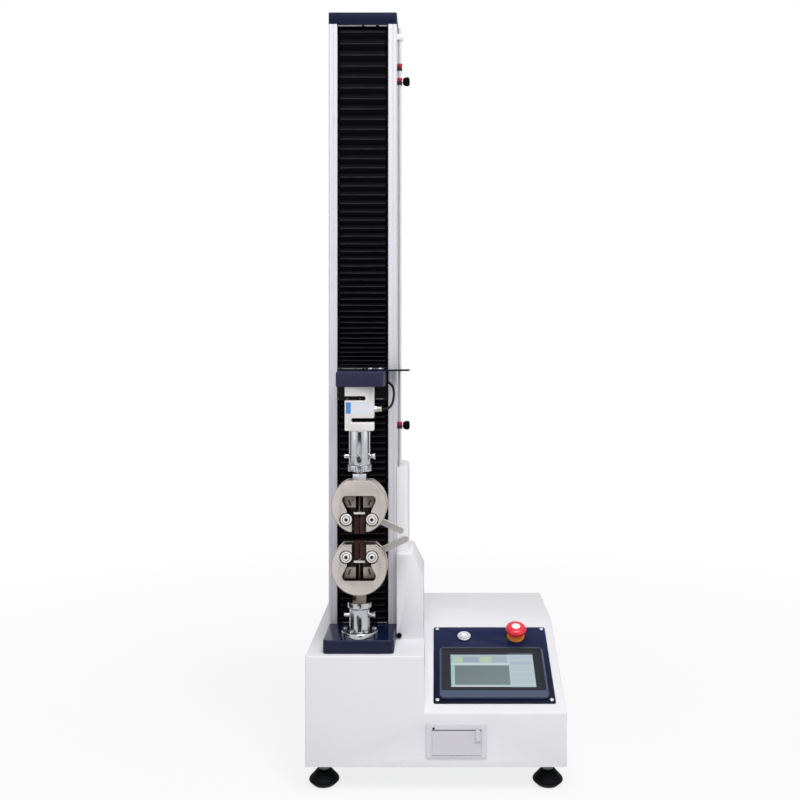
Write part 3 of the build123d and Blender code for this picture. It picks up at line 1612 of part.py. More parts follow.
# Panel printer: flanged housing with its spindle, open at the front
printer_front = cabinet_front - printer_flange
opening_left = printer_x - door_width / 2 - door_gap
opening_right = printer_x + door_width / 2 + door_gap
opening_bottom = door_bottom - door_gap
opening_top = door_bottom + door_height + paper_slot
printer_back = cabinet_front + printer_body_depth
hinge_y = printer_front + door_thickness / 2
hinge_z = door_bottom + door_thickness / 2
with BuildPart() as printer_housing:
    with BuildSketch(facing_front(cabinet_front)):
        with Locations((printer_x, printer_z)):
            RectangleRounded(printer_width, printer_height, printer_corner)
    extrude(amount=printer_flange)
    chamfer(printer_housing.faces().sort_by(Axis.Y)[0].edges(), length=plate_edge)
    slab(
        (
            printer_x - printer_body_width / 2 + running_fit,
            printer_x + printer_body_width / 2 - running_fit,
        ),
        (cabinet_front, printer_back),
        (
            printer_z - printer_body_height / 2 + running_fit,
            printer_z + printer_body_height / 2 - running_fit,
        ),
    )
    slab(
        (
            printer_x - printer_body_width / 2 + printer_wall,
            printer_x + printer_body_width / 2 - printer_wall,
        ),
        (cabinet_front, printer_back - printer_wall),
        (
            printer_z - printer_body_height / 2 + printer_wall,
            printer_z + printer_body_height / 2 - printer_wall,
        ),
        mode=Mode.SUBTRACT,
    )
    slab(
        (opening_left, opening_right),
        (printer_front - overrun, cabinet_front + overrun),
        (opening_bottom, opening_top),
        mode=Mode.SUBTRACT,
    )
    with Locations((printer_x, hinge_y, hinge_z)):
        Cylinder(
            hinge_peg_radius + running_fit,
            door_width + 2 * hinge_peg_length + 2 * seat_gap,
            rotation=(0, 90, 0),
            mode=Mode.SUBTRACT,
        )
    with Locations((printer_x, cabinet_front + roll_set_back, printer_z)):
        Cylinder(
            roll_core_radius - spindle_gap,
            printer_body_width - 2 * printer_wall,
            rotation=(0, 90, 0),
        )
finish(printer_housing, "printer_housing")

# Paper roll on the spindle
with BuildPart() as paper_roll:
    with Locations((printer_x, cabinet_front + roll_set_back, printer_z)):
        Cylinder(roll_radius, roll_width, rotation=(0, 90, 0))
        Cylinder(roll_core_radius, roll_width, rotation=(0, 90, 0), mode=Mode.SUBTRACT)
finish(paper_roll, "paper_roll")

# Printer door with a rounded hinge edge, hinge pegs and two lugs for the latch
latch_middle = printer_x + door_width / 2 - latch_inset - latch_width / 2
latch_back_y = printer_front - door_gap
latch_axis_y = latch_back_y - latch_thickness / 2
latch_axis_z = latch_bottom + latch_thickness / 2
lug_reach = latch_width / 2 + door_gap + latch_lug
with BuildPart() as printer_door:
    slab(
        (printer_x - door_width / 2, printer_x + door_width / 2),
        (printer_front, printer_front + door_thickness),
        (hinge_z, door_bottom + door_height),
    )
    with Locations((printer_x, hinge_y, hinge_z)):
        Cylinder(door_thickness / 2, door_width, rotation=(0, 90, 0))
        Cylinder(hinge_peg_radius, door_width + 2 * hinge_peg_length, rotation=(0, 90, 0))
    slab(
        (latch_middle - lug_reach, latch_middle + lug_reach),
        (latch_back_y - latch_thickness, printer_front),
        (latch_bottom, latch_bottom + latch_thickness),
    )
    slab(
        (latch_middle - latch_width / 2 - door_gap, latch_middle + latch_width / 2 + door_gap),
        (latch_back_y - latch_thickness - overrun, printer_front),
        (latch_bottom - overrun, latch_bottom + latch_thickness + overrun),
        mode=Mode.SUBTRACT,
    )
    with Locations((latch_middle, latch_axis_y, latch_axis_z)):
        Cylinder(
            latch_peg_radius + running_fit,
            2 * (latch_width / 2 + latch_peg_length + seat_gap),
            rotation=(0, 90, 0),
            mode=Mode.SUBTRACT,
        )
finish(printer_door, "printer_door")

# Latch lever between its lugs, reaching over the top edge of the door
with BuildPart() as printer_latch:
    slab(
        (latch_middle - latch_width / 2, latch_middle + latch_width / 2),
        (latch_back_y - latch_thickness, latch_back_y),
        (latch_axis_z, latch_bottom + latch_height),
    )
    fillet(printer_latch.edges().filter_by(Axis.Y).group_by(Axis.Z)[-1], radius=latch_width / 3)
    with Locations((latch_middle, latch_axis_y, latch_axis_z)):
        Cylinder(latch_thickness / 2, latch_width, rotation=(0, 90, 0))
        Cylinder(latch_peg_radius, latch_width + 2 * latch_peg_length, rotation=(0, 90, 0))
finish(printer_latch, "printer_latch")
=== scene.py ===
# %% [markdown]
# # A single-column testing machine
# The machine pulls a test piece apart between two grips and shows the force on its screen.
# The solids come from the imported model. This script gives each of them its finish, and
# models again the pieces whose real shape is finer than the solid: bellows, feet, knobs,
# switches, screws, the lead of the load cell and the softened edges of the metal parts.

import json
import math

import bpy
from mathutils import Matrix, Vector, noise
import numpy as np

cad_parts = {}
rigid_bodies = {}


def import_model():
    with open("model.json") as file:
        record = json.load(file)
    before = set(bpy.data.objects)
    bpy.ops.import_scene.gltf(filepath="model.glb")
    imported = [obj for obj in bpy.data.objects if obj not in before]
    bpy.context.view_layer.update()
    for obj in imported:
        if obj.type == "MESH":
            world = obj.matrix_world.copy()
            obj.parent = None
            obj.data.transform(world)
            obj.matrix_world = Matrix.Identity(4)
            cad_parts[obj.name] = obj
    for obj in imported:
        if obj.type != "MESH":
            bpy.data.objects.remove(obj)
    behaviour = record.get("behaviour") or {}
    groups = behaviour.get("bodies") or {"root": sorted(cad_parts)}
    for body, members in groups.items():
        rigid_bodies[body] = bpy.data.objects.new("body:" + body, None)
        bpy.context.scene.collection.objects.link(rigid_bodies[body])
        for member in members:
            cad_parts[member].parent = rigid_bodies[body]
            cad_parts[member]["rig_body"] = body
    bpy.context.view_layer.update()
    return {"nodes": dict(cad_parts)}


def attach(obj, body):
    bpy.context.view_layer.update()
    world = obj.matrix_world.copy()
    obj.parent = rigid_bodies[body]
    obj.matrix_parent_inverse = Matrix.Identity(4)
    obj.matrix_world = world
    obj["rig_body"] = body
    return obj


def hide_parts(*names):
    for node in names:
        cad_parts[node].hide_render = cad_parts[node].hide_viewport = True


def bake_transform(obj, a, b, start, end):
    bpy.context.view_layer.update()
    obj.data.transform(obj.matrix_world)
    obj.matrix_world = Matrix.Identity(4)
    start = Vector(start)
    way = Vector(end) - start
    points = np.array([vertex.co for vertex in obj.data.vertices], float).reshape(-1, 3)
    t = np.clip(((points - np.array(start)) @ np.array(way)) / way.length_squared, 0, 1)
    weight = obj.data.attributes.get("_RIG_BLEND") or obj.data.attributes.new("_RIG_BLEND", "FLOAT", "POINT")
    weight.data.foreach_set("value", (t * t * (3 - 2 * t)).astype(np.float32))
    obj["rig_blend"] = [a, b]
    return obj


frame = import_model()
nodes = frame["nodes"]
body_of = {name: node["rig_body"] for name, node in nodes.items()}

# %% [markdown]
# Directions and places for several cells are named once. Lengths are in metres, with X to
# the right, Y away from the front and Z up.

# %% Directions and places
scene = bpy.context.scene
right = (1.0, 0.0, 0.0)
front = (0.0, -1.0, 0.0)
back = (0.0, 1.0, 0.0)
up = (0.0, 0.0, 1.0)
column_x = -0.1375
block_top = 0.2636
arm_top = 0.74145
grip_y = -0.179
pivot_offset = 0.023
pivot_heights = {"upper": 0.4745, "lower": 0.4074}
ring_heights = {"top": 1.310, "upper": 1.283, "lower": 0.636}


def in_scene(name, data):
    """An object of the scene that holds some data."""
    piece = bpy.data.objects.new(name, data)
    scene.collection.objects.link(piece)
    return piece


def white(node, strength):
    """Set an emission or background node to white light of some strength."""
    node.inputs["Color"].default_value = (1.0, 1.0, 1.0, 1.0)
    node.inputs["Strength"].default_value = strength
    return node


# %% [markdown]
# The camera comes before the shapes, because they are judged through it. It stands level in
# front of the machine, a little to the right of the column, and its lens is shifted down
# and to the left, as in the photograph, so that upright edges stay upright.

# %% Camera
camera_data = bpy.data.cameras.new("front_camera")
camera = in_scene("front_camera", camera_data)
camera.location = (0.0, -1.936, 0.772)
camera.rotation_euler = (math.radians(90), 0.0, 0.0)
camera_data.sensor_width = 36.0
camera_data.lens = 43.85
camera_data.shift_x = -0.045
camera_data.shift_y = -0.05875
camera_data.clip_end = 60.0
scene.camera = camera
scene.view_settings.view_transform = "Standard"

# %% [markdown]
# A pattern on a surface is arithmetic on positions: how far up, how far across, how much
# noise. Written with nodes that is a long wiring job, so a small class carries a socket
# and turns Python's operators into Math nodes. A second class holds one material.


# %% Arithmetic on shader sockets
class Wire:
    """A value that changes over a surface."""

    def __init__(self, look, socket):
        self.look = look
        self.socket = socket

    def math(self, operation, *values, clamp=False):
        """A Math node on some values, or on this value alone."""
        settings = {"operation": operation, "use_clamp": clamp}
        return self.look.node("Math", settings, values or (self,))

    def __add__(self, other):
        return self.math("ADD", self, other)

    def __sub__(self, other):
        return self.math("SUBTRACT", self, other)

    def __rsub__(self, other):
        return self.math("SUBTRACT", other, self)

    def __mul__(self, other):
        return self.math("MULTIPLY", self, other)

    def __truediv__(self, other):
        return self.math("DIVIDE", self, other)

    def __gt__(self, other):
        return self.math("GREATER_THAN", self, other)

    def __lt__(self, other):
        return self.math("LESS_THAN", self, other)

    __radd__ = __add__
    __rmul__ = __mul__

    def between(self, low, high):
        """1 where the value lies between two limits, 0 elsewhere."""
        return (self > low) * (self < high)

    def kept_in(self):
        """The value held between 0 and 1."""
        return self.math("ADD", self, 0.0, clamp=True)


class Look:
    """One material, with a Principled shader and any nodes that feed it."""

    def __init__(self, name, colour, roughness=0.5, metallic=0.0, **constants):
        self.material = bpy.data.materials.new(name)
        self.material.use_nodes = True
        self.tree = self.material.node_tree
        self.shader = self.tree.nodes["Principled BSDF"]
        self.shader.inputs["Base Color"].default_value = colour
        self.shader.inputs["Roughness"].default_value = roughness
        self.shader.inputs["Metallic"].default_value = metallic
        for socket, value in constants.items():
            self.shader.inputs[socket.replace("_", " ")].default_value = value

    def node(self, kind, settings, values, output=0):
        """Add a node, set it up, then set or link the sockets that are named or numbered."""
        made = self.tree.nodes.new("ShaderNode" + kind)
        for key, value in settings.items():
            setattr(made, key, value)
        named = values.items() if isinstance(values, dict) else enumerate(values)
        for key, value in named:
            if isinstance(value, Wire):
                self.tree.links.new(value.socket, made.inputs[key])
            else:
                made.inputs[key].default_value = value
        return Wire(self, made.outputs[output])

    def feed(self, socket, wire):
        """Link a varying value to a socket of the shader."""
        self.tree.links.new(wire.socket, self.shader.inputs[socket])

    def place(self, stretch=(1.0, 1.0, 1.0)):
        """The position on the object in metres, stretched along its axes."""
        position = self.node("TexCoord", {}, {}, "Object")
        if stretch == (1.0, 1.0, 1.0):
            return position
        return self.node("Mapping", {}, {"Vector": position, "Scale": stretch})

    def vector(self, operation, *values, output="Vector"):
        return self.node("VectorMath", {"operation": operation}, values, output)

    def along(self, direction, origin=(0.0, 0.0, 0.0)):
        """How far the surface lies from an origin along a direction, in metres."""
        away = self.vector("SUBTRACT", self.place(), origin)
        return self.vector("DOT_PRODUCT", away, direction, output="Value")

    def radius(self, centre, across):
        """How far the surface lies from an axis through a point, in metres."""
        away = self.vector("SUBTRACT", self.place(), centre)
        return self.vector("LENGTH", self.vector("MULTIPLY", away, across), output="Value")

    def grain(self, scale, detail=2.0, stretch=(1.0, 1.0, 1.0)):
        """Noise whose spots are one metre divided by the scale across."""
        values = {"Vector": self.place(stretch), "Scale": scale, "Detail": detail}
        return self.node("TexNoise", {}, values)

    def mix(self, share, first, second):
        """A colour between two others."""
        return self.node("Mix", {"data_type": "RGBA"}, {0: share, 6: first, 7: second}, 2)

    def finished(self, colour, roughness, relief, depth):
        """The material, with colour, roughness and relief that vary over the surface."""
        if isinstance(colour, Wire):
            self.feed("Base Color", colour)
        self.feed("Roughness", roughness)
        values = {"Height": relief, "Distance": depth, "Strength": 1.0}
        self.feed("Normal", self.node("Bump", {}, values))
        return self.material


def srgb(red, green, blue):
    """A colour given by its usual 0 to 255 values."""
    linear = []
    for value in (red, green, blue):
        share = value / 255
        linear.append(share / 12.92 if share < 0.04045 else ((share + 0.055) / 1.055) ** 2.4)
    return (*linear, 1.0)


def shade(colour, factor):
    """The same colour, darker or lighter."""
    return (*[channel * factor for channel in colour[:3]], 1.0)


def spread(colour, share):
    """The same colour darker and lighter by a share, as two ends to mix between."""
    return shade(colour, 1 - share), shade(colour, 1 + share)


# %% [markdown]
# ## Finishes
# The sheet metal is powder coated. Powder melts into a skin with a faint orange-peel
# relief, so the paint gets millimetre-sized bumps, a slightly uneven gloss and broad,
# barely visible changes of tone. The dark enamel of the castings has the same build with a
# finer skin, and on the top of the base block it is polished.


# %% Paints
def painted(
    name, colour, roughness, peel=600.0, depth=0.00004, uneven=0.03, gloss=0.5, spots=5.0
):
    look = Look(name, colour, roughness, Specular_IOR_Level=gloss)
    skin = look.grain(peel, 2.0)
    tone = look.grain(spots, 3.0)
    varied = look.mix(tone, *spread(colour, uneven))
    return look.finished(varied, roughness - 0.05 + 0.1 * skin, skin, depth)


white_coat = painted("white_powder_coat", srgb(232, 232, 236), 0.5)
column_coat = painted("white_column_paint", srgb(219, 218, 225), 0.5, 900.0, 0.00002)
navy_enamel = painted("navy_enamel", srgb(19, 26, 52), 0.42, 1400.0, 0.00005, 0.14, 0.15)


def block_finish():
    """The enamel of the base block, polished on its top and left as sprayed on its sides."""
    look = Look("base_block_enamel", srgb(17, 25, 54), 0.4, Specular_IOR_Level=0.25)
    skin = look.grain(1400.0, 2.0)
    top = look.along(up) > block_top
    tone = look.grain(30.0, 3.0)
    colour = look.mix(tone, srgb(12, 18, 44), srgb(22, 31, 64))
    return look.finished(colour, 0.38 + 0.06 * skin - 0.3 * top, skin, 0.000004)


block_enamel = block_finish()
arm_enamel = painted("arm_enamel", srgb(42, 42, 69), 0.5, 2600.0, 0.0001, 0.7, 0.22, 260.0)
motor_paint = painted("black_motor_paint", srgb(34, 34, 36), 0.5, peel=800.0)
print("paints ready")

# %% [markdown]
# Metals differ in how they were worked. Turned parts carry fine rings round their axis,
# ground plates carry streaks along one direction, and blasted or plated parts an even
# grain. Each is the same recipe with the noise stretched another way.


# %% Metals
def worked(
    name, red, green, blue, roughness, scale, stretch, depth=0.00001, uneven=0.06, metallic=1.0
):
    colour = srgb(red, green, blue)
    look = Look(name, colour, roughness, metallic)
    marks = look.grain(scale, 3.0, stretch)
    clouds = look.grain(40.0, 3.0)
    gloss = (roughness * 0.8 + roughness * 0.4 * marks).kept_in()
    return look.finished(look.mix(clouds, *spread(colour, uneven)), gloss, marks, depth)


turned_upright = (0.05, 0.05, 1.0)
turned_across = (1.0, 0.05, 0.05)
ground = (1.0, 1.0, 0.05)
even = (1.0, 1.0, 1.0)
chrome_colour = (186, 188, 192)
chrome = worked("bright_chrome", *chrome_colour, 0.2, 2500.0, turned_upright)
chrome_across = worked("bright_chrome_pins", *chrome_colour, 0.22, 2500.0, turned_across)
lever_steel = worked("lever_steel", 192, 185, 182, 0.46, 900.0, (0.3, 1.0, 0.6), 0.00003, 0.14)
bright_steel = worked("bright_steel", 214, 214, 216, 0.34, 1500.0, even)
bronze_nut = worked("bronze_tinted_nut", 126, 115, 102, 0.2, 1500.0, even)
ground_steel = worked("ground_steel", 190, 192, 195, 0.24, 2500.0, turned_upright)
foot_steel = worked("foot_steel", 104, 104, 106, 0.4, 900.0, even)
zinc_steel = worked("zinc_steel", 178, 182, 185, 0.38, 60.0, even, uneven=0.2)
satin_aluminium = worked("satin_aluminium", 205, 206, 209, 0.4, 900.0, (0.05, 1.0, 1.0))
cell_nickel = worked("load_cell_nickel", 240, 237, 237, 0.46, 1200.0, ground, metallic=0.6)
rod_steel = worked("limit_rod_steel", 214, 214, 216, 0.34, 2500.0, turned_upright)
pivot_steel = worked("pivot_steel", 240, 238, 236, 0.42, 1500.0, even, metallic=0.5)
painted_shade_steel = worked("painted_shade_steel", 44, 38, 36, 0.45, 900.0, even, metallic=0.7)

# %% [markdown]
# These finishes change at given heights, depths and distances from an axis. Most of the
# change is painted light and shade: highlights painted as bright lines along front edges,
# shade painted dark on lower halves, in hollows, gaps and recesses, and a dark reflection
# painted on a flange top. The rest is the colour of the parts themselves.


# %% Metals with painted light and shade
frame_front = -0.1068
line_half = 0.0007


def black_oxide(name, lines=()):
    """Blackened steel, its front edges painted bright in thin broken lines at some heights, a painted
    highlight.
    """
    colour = srgb(15, 15, 18)
    look = Look(name, colour, 0.5, Specular_IOR_Level=0.2)
    patches = look.grain(70.0, 3.0, (1.0, 0.02, 0.02))
    if lines:
        height = look.along(up)
        facing = look.along(back) < frame_front
        painted_light_and_shade = 0.0
        for middle, highlight_from in lines:
            line = height.between(middle - line_half, middle + line_half)
            painted_light_and_shade = painted_light_and_shade + line * (patches > highlight_from)
        # painted highlight: thin pale lines on the front faces, broken up by noise, stand for light catching
        # the frame edges
        colour = look.mix((painted_light_and_shade * facing).kept_in(), colour, srgb(170, 170, 170))
    return look.finished(colour, 0.42 + 0.12 * patches, look.grain(900.0), 0.00002)


carriage_black = black_oxide("carriage_black")
# heights of the painted highlight lines on the bellows frames, each with the noise level above which the
# line shows
frame_lines = ((1.3856, 0.4), (0.7427, 0.46), (0.6862, 0.54), (0.2668, 0.46))
frame_black = black_oxide("bellows_frame_black", frame_lines)


def ring_finish(ring):
    """Red anodised aluminium, its lower half painted nearly black as painted shade."""
    red = srgb(176, 8, 38)
    look = Look(ring + "_ring_red", red, 0.4, 0.3)
    above = look.along(up, (0.0, 0.0, ring_heights[ring]))
    # painted shade: the ring turns nearly black below its middle height, with a noisy border
    painted_shade = (0.5 - above * 500.0 + look.grain(300.0) * 0.5).kept_in()
    colour = look.mix(painted_shade, red, srgb(42, 6, 12))
    marks = look.grain(2000.0, 2.0, turned_upright)
    return look.finished(colour, 0.34 + 0.2 * painted_shade, marks, 0.00001)


def socket_finish():
    """Chrome, with the flat top of its flange painted dark as a painted reflection."""
    bright = srgb(*chrome_colour)
    look = Look("lower_socket_chrome", bright, 0.2, 1.0)
    marks = look.grain(2500.0, 3.0, turned_upright)
    out = look.radius((column_x, grip_y, 0.0), (1.0, 1.0, 0.0))
    # painted reflection: a dark ring on the flat top of the flange
    top = look.along(up).between(0.2724, 0.2734) * out.between(0.0199, 0.0318)
    colour = look.mix(top, bright, srgb(74, 74, 80))
    return look.finished(colour, 0.16 + 0.08 * marks + 0.14 * top, marks, 0.00001)


def grip_finish(grip, disc_z, far, way):
    """Satin nickel, painted dark as painted shade in the window, round the pivots and at the rim."""
    nickel = srgb(216, 207, 201)
    look = Look(grip + "_grip_nickel", nickel, 0.5, 1.0)
    pivot_z = pivot_heights[grip]
    clouds = look.grain(60.0, 5.0)
    depth = look.along(back)
    across = look.along(right, (column_x, 0.0, 0.0))
    height = look.along((0.0, 0.0, way), (0.0, 0.0, pivot_z))
    out = look.radius((column_x, 0.0, disc_z), (1.0, 0.0, 1.0))
    # painted shade: the inside of the window, the recesses round the pivots and a thin line at the rim are
    # painted dark
    inside = depth.between(-0.1966, -0.1604) * (out < 0.0485) * height.between(-0.0213, far)
    rings = out.between(0.0490, 0.0499) * 0.6
    for offset in (-pivot_offset, pivot_offset):
        beside_pivot = look.radius((column_x + offset, 0.0, pivot_z), (1.0, 0.0, 1.0))
        rings = rings + (beside_pivot < 0.0121)
    bar = height.between(0.0080, 0.0118) * across.between(-0.0102, 0.0102)
    painted_shade = ((inside + rings * (depth < -0.1900)) * (1.0 - bar)).kept_in()
    stem = inside * height.between(0.0118, 0.0424) * across.between(-0.0012, 0.0012)
    colour = look.mix(clouds, shade(nickel, 0.86), shade(nickel, 1.06))
    colour = look.mix(painted_shade, colour, srgb(44, 38, 36))
    colour = look.mix(bar * inside, colour, srgb(240, 238, 234))
    colour = look.mix(stem, colour, srgb(104, 92, 86))
    return look.finished(colour, 0.46 + 0.08 * clouds, look.grain(1800.0, 3.0), 0.00003)


def jaw_finish(grip, way):
    """Browned steel: reddish on the fingers, black round the pivots, paler on the tails, with painted shade
    at the sides of the fingers and in the gaps round the tails.
    """
    finger = srgb(62, 36, 31)
    look = Look(grip + "_jaw_steel", finger, 0.4, 0.6)
    blotches = look.grain(170.0, 4.0)
    streaks = look.grain(330.0, 3.0, (1.0, 1.0, 0.12))
    height = look.along((0.0, 0.0, way), (0.0, 0.0, pivot_heights[grip]))
    beside = look.along(right, (column_x, 0.0, 0.0)).math("ABSOLUTE")
    shank = ((height - 0.002) * 400.0).kept_in()
    tail = ((height - 0.0195) * 900.0).kept_in()
    notch = (beside - (0.0074 + height * 0.37)).between(-0.0019, 0.0019)
    notch = notch * height.between(0.0235, 0.034)
    # painted shade: dark lines along the outer edges and the top of the tails and down the gap between the
    # jaws
    edge = ((beside - height * 0.5) > 0.0122) + (beside > 0.0282) + (beside < 0.0036)
    edge = edge + (height > 0.0408)
    colour = look.mix(streaks, shade(finger, 0.2), shade(finger, 1.8))
    # painted shade: beyond 8.8 mm from the middle the fingers are painted near black, at their sides
    colour = look.mix(beside > 0.0088, colour, srgb(16, 12, 12))
    colour = look.mix(shank * 0.85, colour, srgb(22, 17, 16))
    pale = look.mix(blotches, srgb(104, 94, 89), srgb(206, 192, 184))
    pale = look.mix((notch + edge).kept_in() * 0.9, pale, srgb(22, 18, 17))
    colour = look.mix(tail, colour, pale)
    return look.finished(colour, 0.34 + 0.16 * blotches, look.grain(900.0, 3.0), 0.00004)


upper_jaw_steel = jaw_finish("upper", 1.0)
lower_jaw_steel = jaw_finish("lower", -1.0)
print("metals ready")

# %% [markdown]
# Rubber and moulded plastic take their look from the tool that formed them: a fine spark
# texture, a soft sheen and no direction. The bellows are coated cloth, with a weave that
# shows as a faint grid, and the front crests of their folds are painted paler as a painted highlight.


# %% Plastics, rubber and coated cloth
def moulded(name, red, green, blue, roughness, scale=1500.0, depth=0.00003, gloss=0.5):
    colour = srgb(red, green, blue)
    look = Look(name, colour, roughness, Specular_IOR_Level=gloss)
    spark = look.grain(scale, 4.0)
    rough = (roughness - 0.04 + 0.08 * spark).kept_in()
    return look.finished(look.mix(spark, *spread(colour, 0.06)), rough, spark, depth)


smooth = 0.00001
rubber = moulded("moulded_rubber", 9, 10, 12, 0.6, 900.0, 0.00006, 0.08)
black_plastic = moulded("black_plastic", 26, 26, 28, 0.45, gloss=0.3)
knob_plastic = moulded("knob_plastic", 6, 9, 12, 0.6, gloss=0.04)
stop_red = moulded("stop_red", 226, 36, 54, 0.3, depth=smooth)
stop_orange = moulded("stop_orange", 255, 156, 56, 0.36, depth=smooth)
white_plastic = moulded("white_plastic", 244, 240, 240, 0.36, depth=smooth)
printer_plastic = moulded("printer_plastic", 214, 213, 220, 0.46)
guide_plastic = moulded("guide_plastic", 236, 236, 238, 0.4)
board_plastic = moulded("board_and_supply", 60, 92, 74, 0.5)
paper = moulded("thermal_paper", 238, 238, 234, 0.7, 2500.0, 0.00002)
lamp_lens = moulded("lamp_lens", 12, 14, 14, 0.4, depth=smooth, gloss=0.1)
label_film = moulded("label_film", 226, 230, 236, 0.3, depth=smooth)
label_band = moulded("label_band", 84, 140, 214, 0.3, depth=smooth)
blue_ring = moulded("button_light_ring", 96, 124, 214, 0.3)
lead_rubber = moulded("lead_rubber", 15, 15, 17, 0.5, 1200.0, 0.00002, 0.2)


def door_plastic():
    """The plastic of the paper door, painted grey along its lower edge and its sides as the painted shadow
    of the gaps round it.
    """
    colour = srgb(208, 206, 212)
    look = Look("printer_door_plastic", colour, 0.44)
    spark = look.grain(1500.0, 4.0)
    beside = look.along(right, (0.036, 0.0, 0.0)).math("ABSOLUTE")
    height = look.along(up)
    # painted shade: grey bands along the lower edge and both sides of the door
    painted_light_and_shade = ((height < 0.0664) + (beside > 0.0437)).kept_in() * (height < 0.1)
    colour = look.mix(painted_light_and_shade, colour, srgb(134, 132, 142))
    return look.finished(colour, 0.4 + 0.08 * spark, spark, 0.00003)


printer_door_plastic = door_plastic()


def coated_cloth():
    threads = 9000.0
    colour = srgb(10, 10, 13)
    look = Look("bellows_cloth", colour, 0.6, Specular_IOR_Level=0.04)
    warp, weft = [(look.along(way) * threads).math("SINE") for way in (right, up)]
    # painted highlight: the front crests of the folds are painted paler, unevenly by noise
    crest = (1.0 - look.along(back, (0.0, -0.1076, 0.0)) * 1300.0).kept_in()
    painted_light_and_shade = look.grain(120.0, 4.0)
    share = (crest * (0.5 + painted_light_and_shade * 0.5)).kept_in()
    colour = look.mix(share, colour, srgb(56, 56, 63))
    return look.finished(colour, 0.66 - 0.1 * share, warp * weft, 0.00003)


bellows_cloth = coated_cloth()
print("plastics, rubber and cloth ready")

# %% [markdown]
# The touch screen is lit from behind. Its picture is built from plain blocks: a large grey
# plot, a pale column of fields at the right and a row of small fields above. The blocks
# are masks on two numbers, the distance across the panel and the distance up its slope.

# %% Screen and panel finishes
slope_origin = Vector((0.0, -0.225, 0.140))
slope_up = Vector((0.0, 0.91646, 0.40017))
slope_out = Vector((0.0, -0.40017, 0.91646))
panel_x = 0.1045


def on_slope(x, along, rise=0.0):
    """A point of the sloping panel, by its X, its way up the slope and its rise above it."""
    return slope_origin + Vector((x, 0, 0)) + along * slope_up + rise * slope_out


screen_half_width = 0.0770
screen_low = 0.0570
screen_high = 0.1420


def screen_picture():
    """The picture on the glass, from blocks given by left, right, top and bottom, 0 to 1."""
    colour = srgb(20, 27, 36)
    look = Look("touch_screen", colour, 0.16, Specular_IOR_Level=0.3)
    from_left = look.along(right, (panel_x - screen_half_width, 0.0, 0.0))
    across = from_left / (2 * screen_half_width)
    down = (screen_high - look.along(slope_up, slope_origin)) / (screen_high - screen_low)

    def field(start, end, top, bottom):
        return across.between(start, end) * down.between(top, bottom)

    blocks = (
        (0.0, 1.0, 0.0, 1.0, srgb(196, 212, 218)),
        (0.0, 0.035, 0.03, 0.97, srgb(165, 200, 198)),
        (0.04, 0.69, 0.0, 0.27, srgb(176, 192, 200)),
        (0.05, 0.14, 0.07, 0.24, srgb(182, 208, 176)),
        (0.15, 0.34, 0.07, 0.24, srgb(158, 172, 192)),
        (0.36, 0.49, 0.07, 0.24, srgb(184, 210, 178)),
        (0.51, 0.68, 0.07, 0.24, srgb(166, 182, 198)),
        (0.0, 0.69, 0.27, 0.315, srgb(206, 220, 222)),
        (0.045, 0.70, 0.34, 0.94, srgb(104, 118, 124)),
        (0.72, 0.98, 0.04, 0.14, srgb(192, 206, 214)),
        (0.72, 0.98, 0.22, 0.32, srgb(186, 192, 212)),
        *[(0.72, 0.98, top, top + 0.10, srgb(190, 206, 213)) for top in (0.40, 0.58, 0.76)],
    )
    for *edges, block_colour in blocks:
        colour = look.mix(field(*edges), colour, block_colour)
    haze = (across * 0.5 + down * 0.5).kept_in() * field(0.045, 0.70, 0.34, 0.94)
    colour = look.mix(haze * 0.6, colour, srgb(140, 158, 160))
    dots = look.grain(1100.0, 2.0) * across.between(0.70, 1.0)
    colour = look.mix(dots * 0.35, colour, srgb(140, 160, 172))
    lit = field(0.0, 1.0, 0.0, 1.0)
    black = srgb(0, 0, 0)
    look.feed("Base Color", look.mix(lit, colour, look.mix(0.75, colour, black)))
    look.feed("Emission Color", look.mix(lit, black, colour))
    look.shader.inputs["Emission Strength"].default_value = 0.62
    return look.material


touch_screen = screen_picture()


def bezel_plastic():
    rim = srgb(70, 82, 106)
    look = Look("screen_bezel", rim, 0.4, Specular_IOR_Level=0.25)
    spark = look.grain(1800.0, 3.0)
    along_slope = look.along(slope_up, slope_origin)
    across = look.along(right, (panel_x, 0.0, 0.0))
    field = across.between(-0.0945, 0.0945) * along_slope.between(0.0472, 0.1600)
    colour = look.mix(field, rim, srgb(16, 23, 32))
    band = across.between(-0.0965, 0.0965) * along_slope.between(0.0320, 0.0465)
    colour = look.mix(band, colour, srgb(70, 80, 104))
    return look.finished(colour, 0.32 + 0.1 * spark, spark, 0.00001)


bezel = bezel_plastic()


def panel_overlay():
    look = Look("panel_overlay", srgb(27, 33, 66), 0.36, Specular_IOR_Level=0.12)
    spark = look.grain(2200.0, 3.0)
    share = ((look.along(slope_up, slope_origin) - 0.02) * 4.6).kept_in()
    colour = look.mix(share, srgb(9, 13, 38), srgb(20, 30, 70))
    return look.finished(colour, 0.3 + 0.1 * spark, spark, 0.00001)


panel_film = panel_overlay()
print("screen and panel ready")

# %% [markdown]
# ## Tools of the bench
# In Blender an operator acts on whatever is selected, so each step clears the selection
# first and then picks what it needs by place.


# %% Selection helpers
def edit(on=True):
    """Go into edit mode, or back out of it."""
    bpy.ops.object.mode_set(mode="EDIT" if on else "OBJECT")


def deselect():
    """Leave edit mode and clear the selection."""
    if bpy.context.object and bpy.context.object.mode == "EDIT":
        edit(False)
    bpy.ops.object.select_all(action="DESELECT")


def take(piece):
    """Make one piece the selected and active one."""
    deselect()
    piece.select_set(True)
    bpy.context.view_layer.objects.active = piece


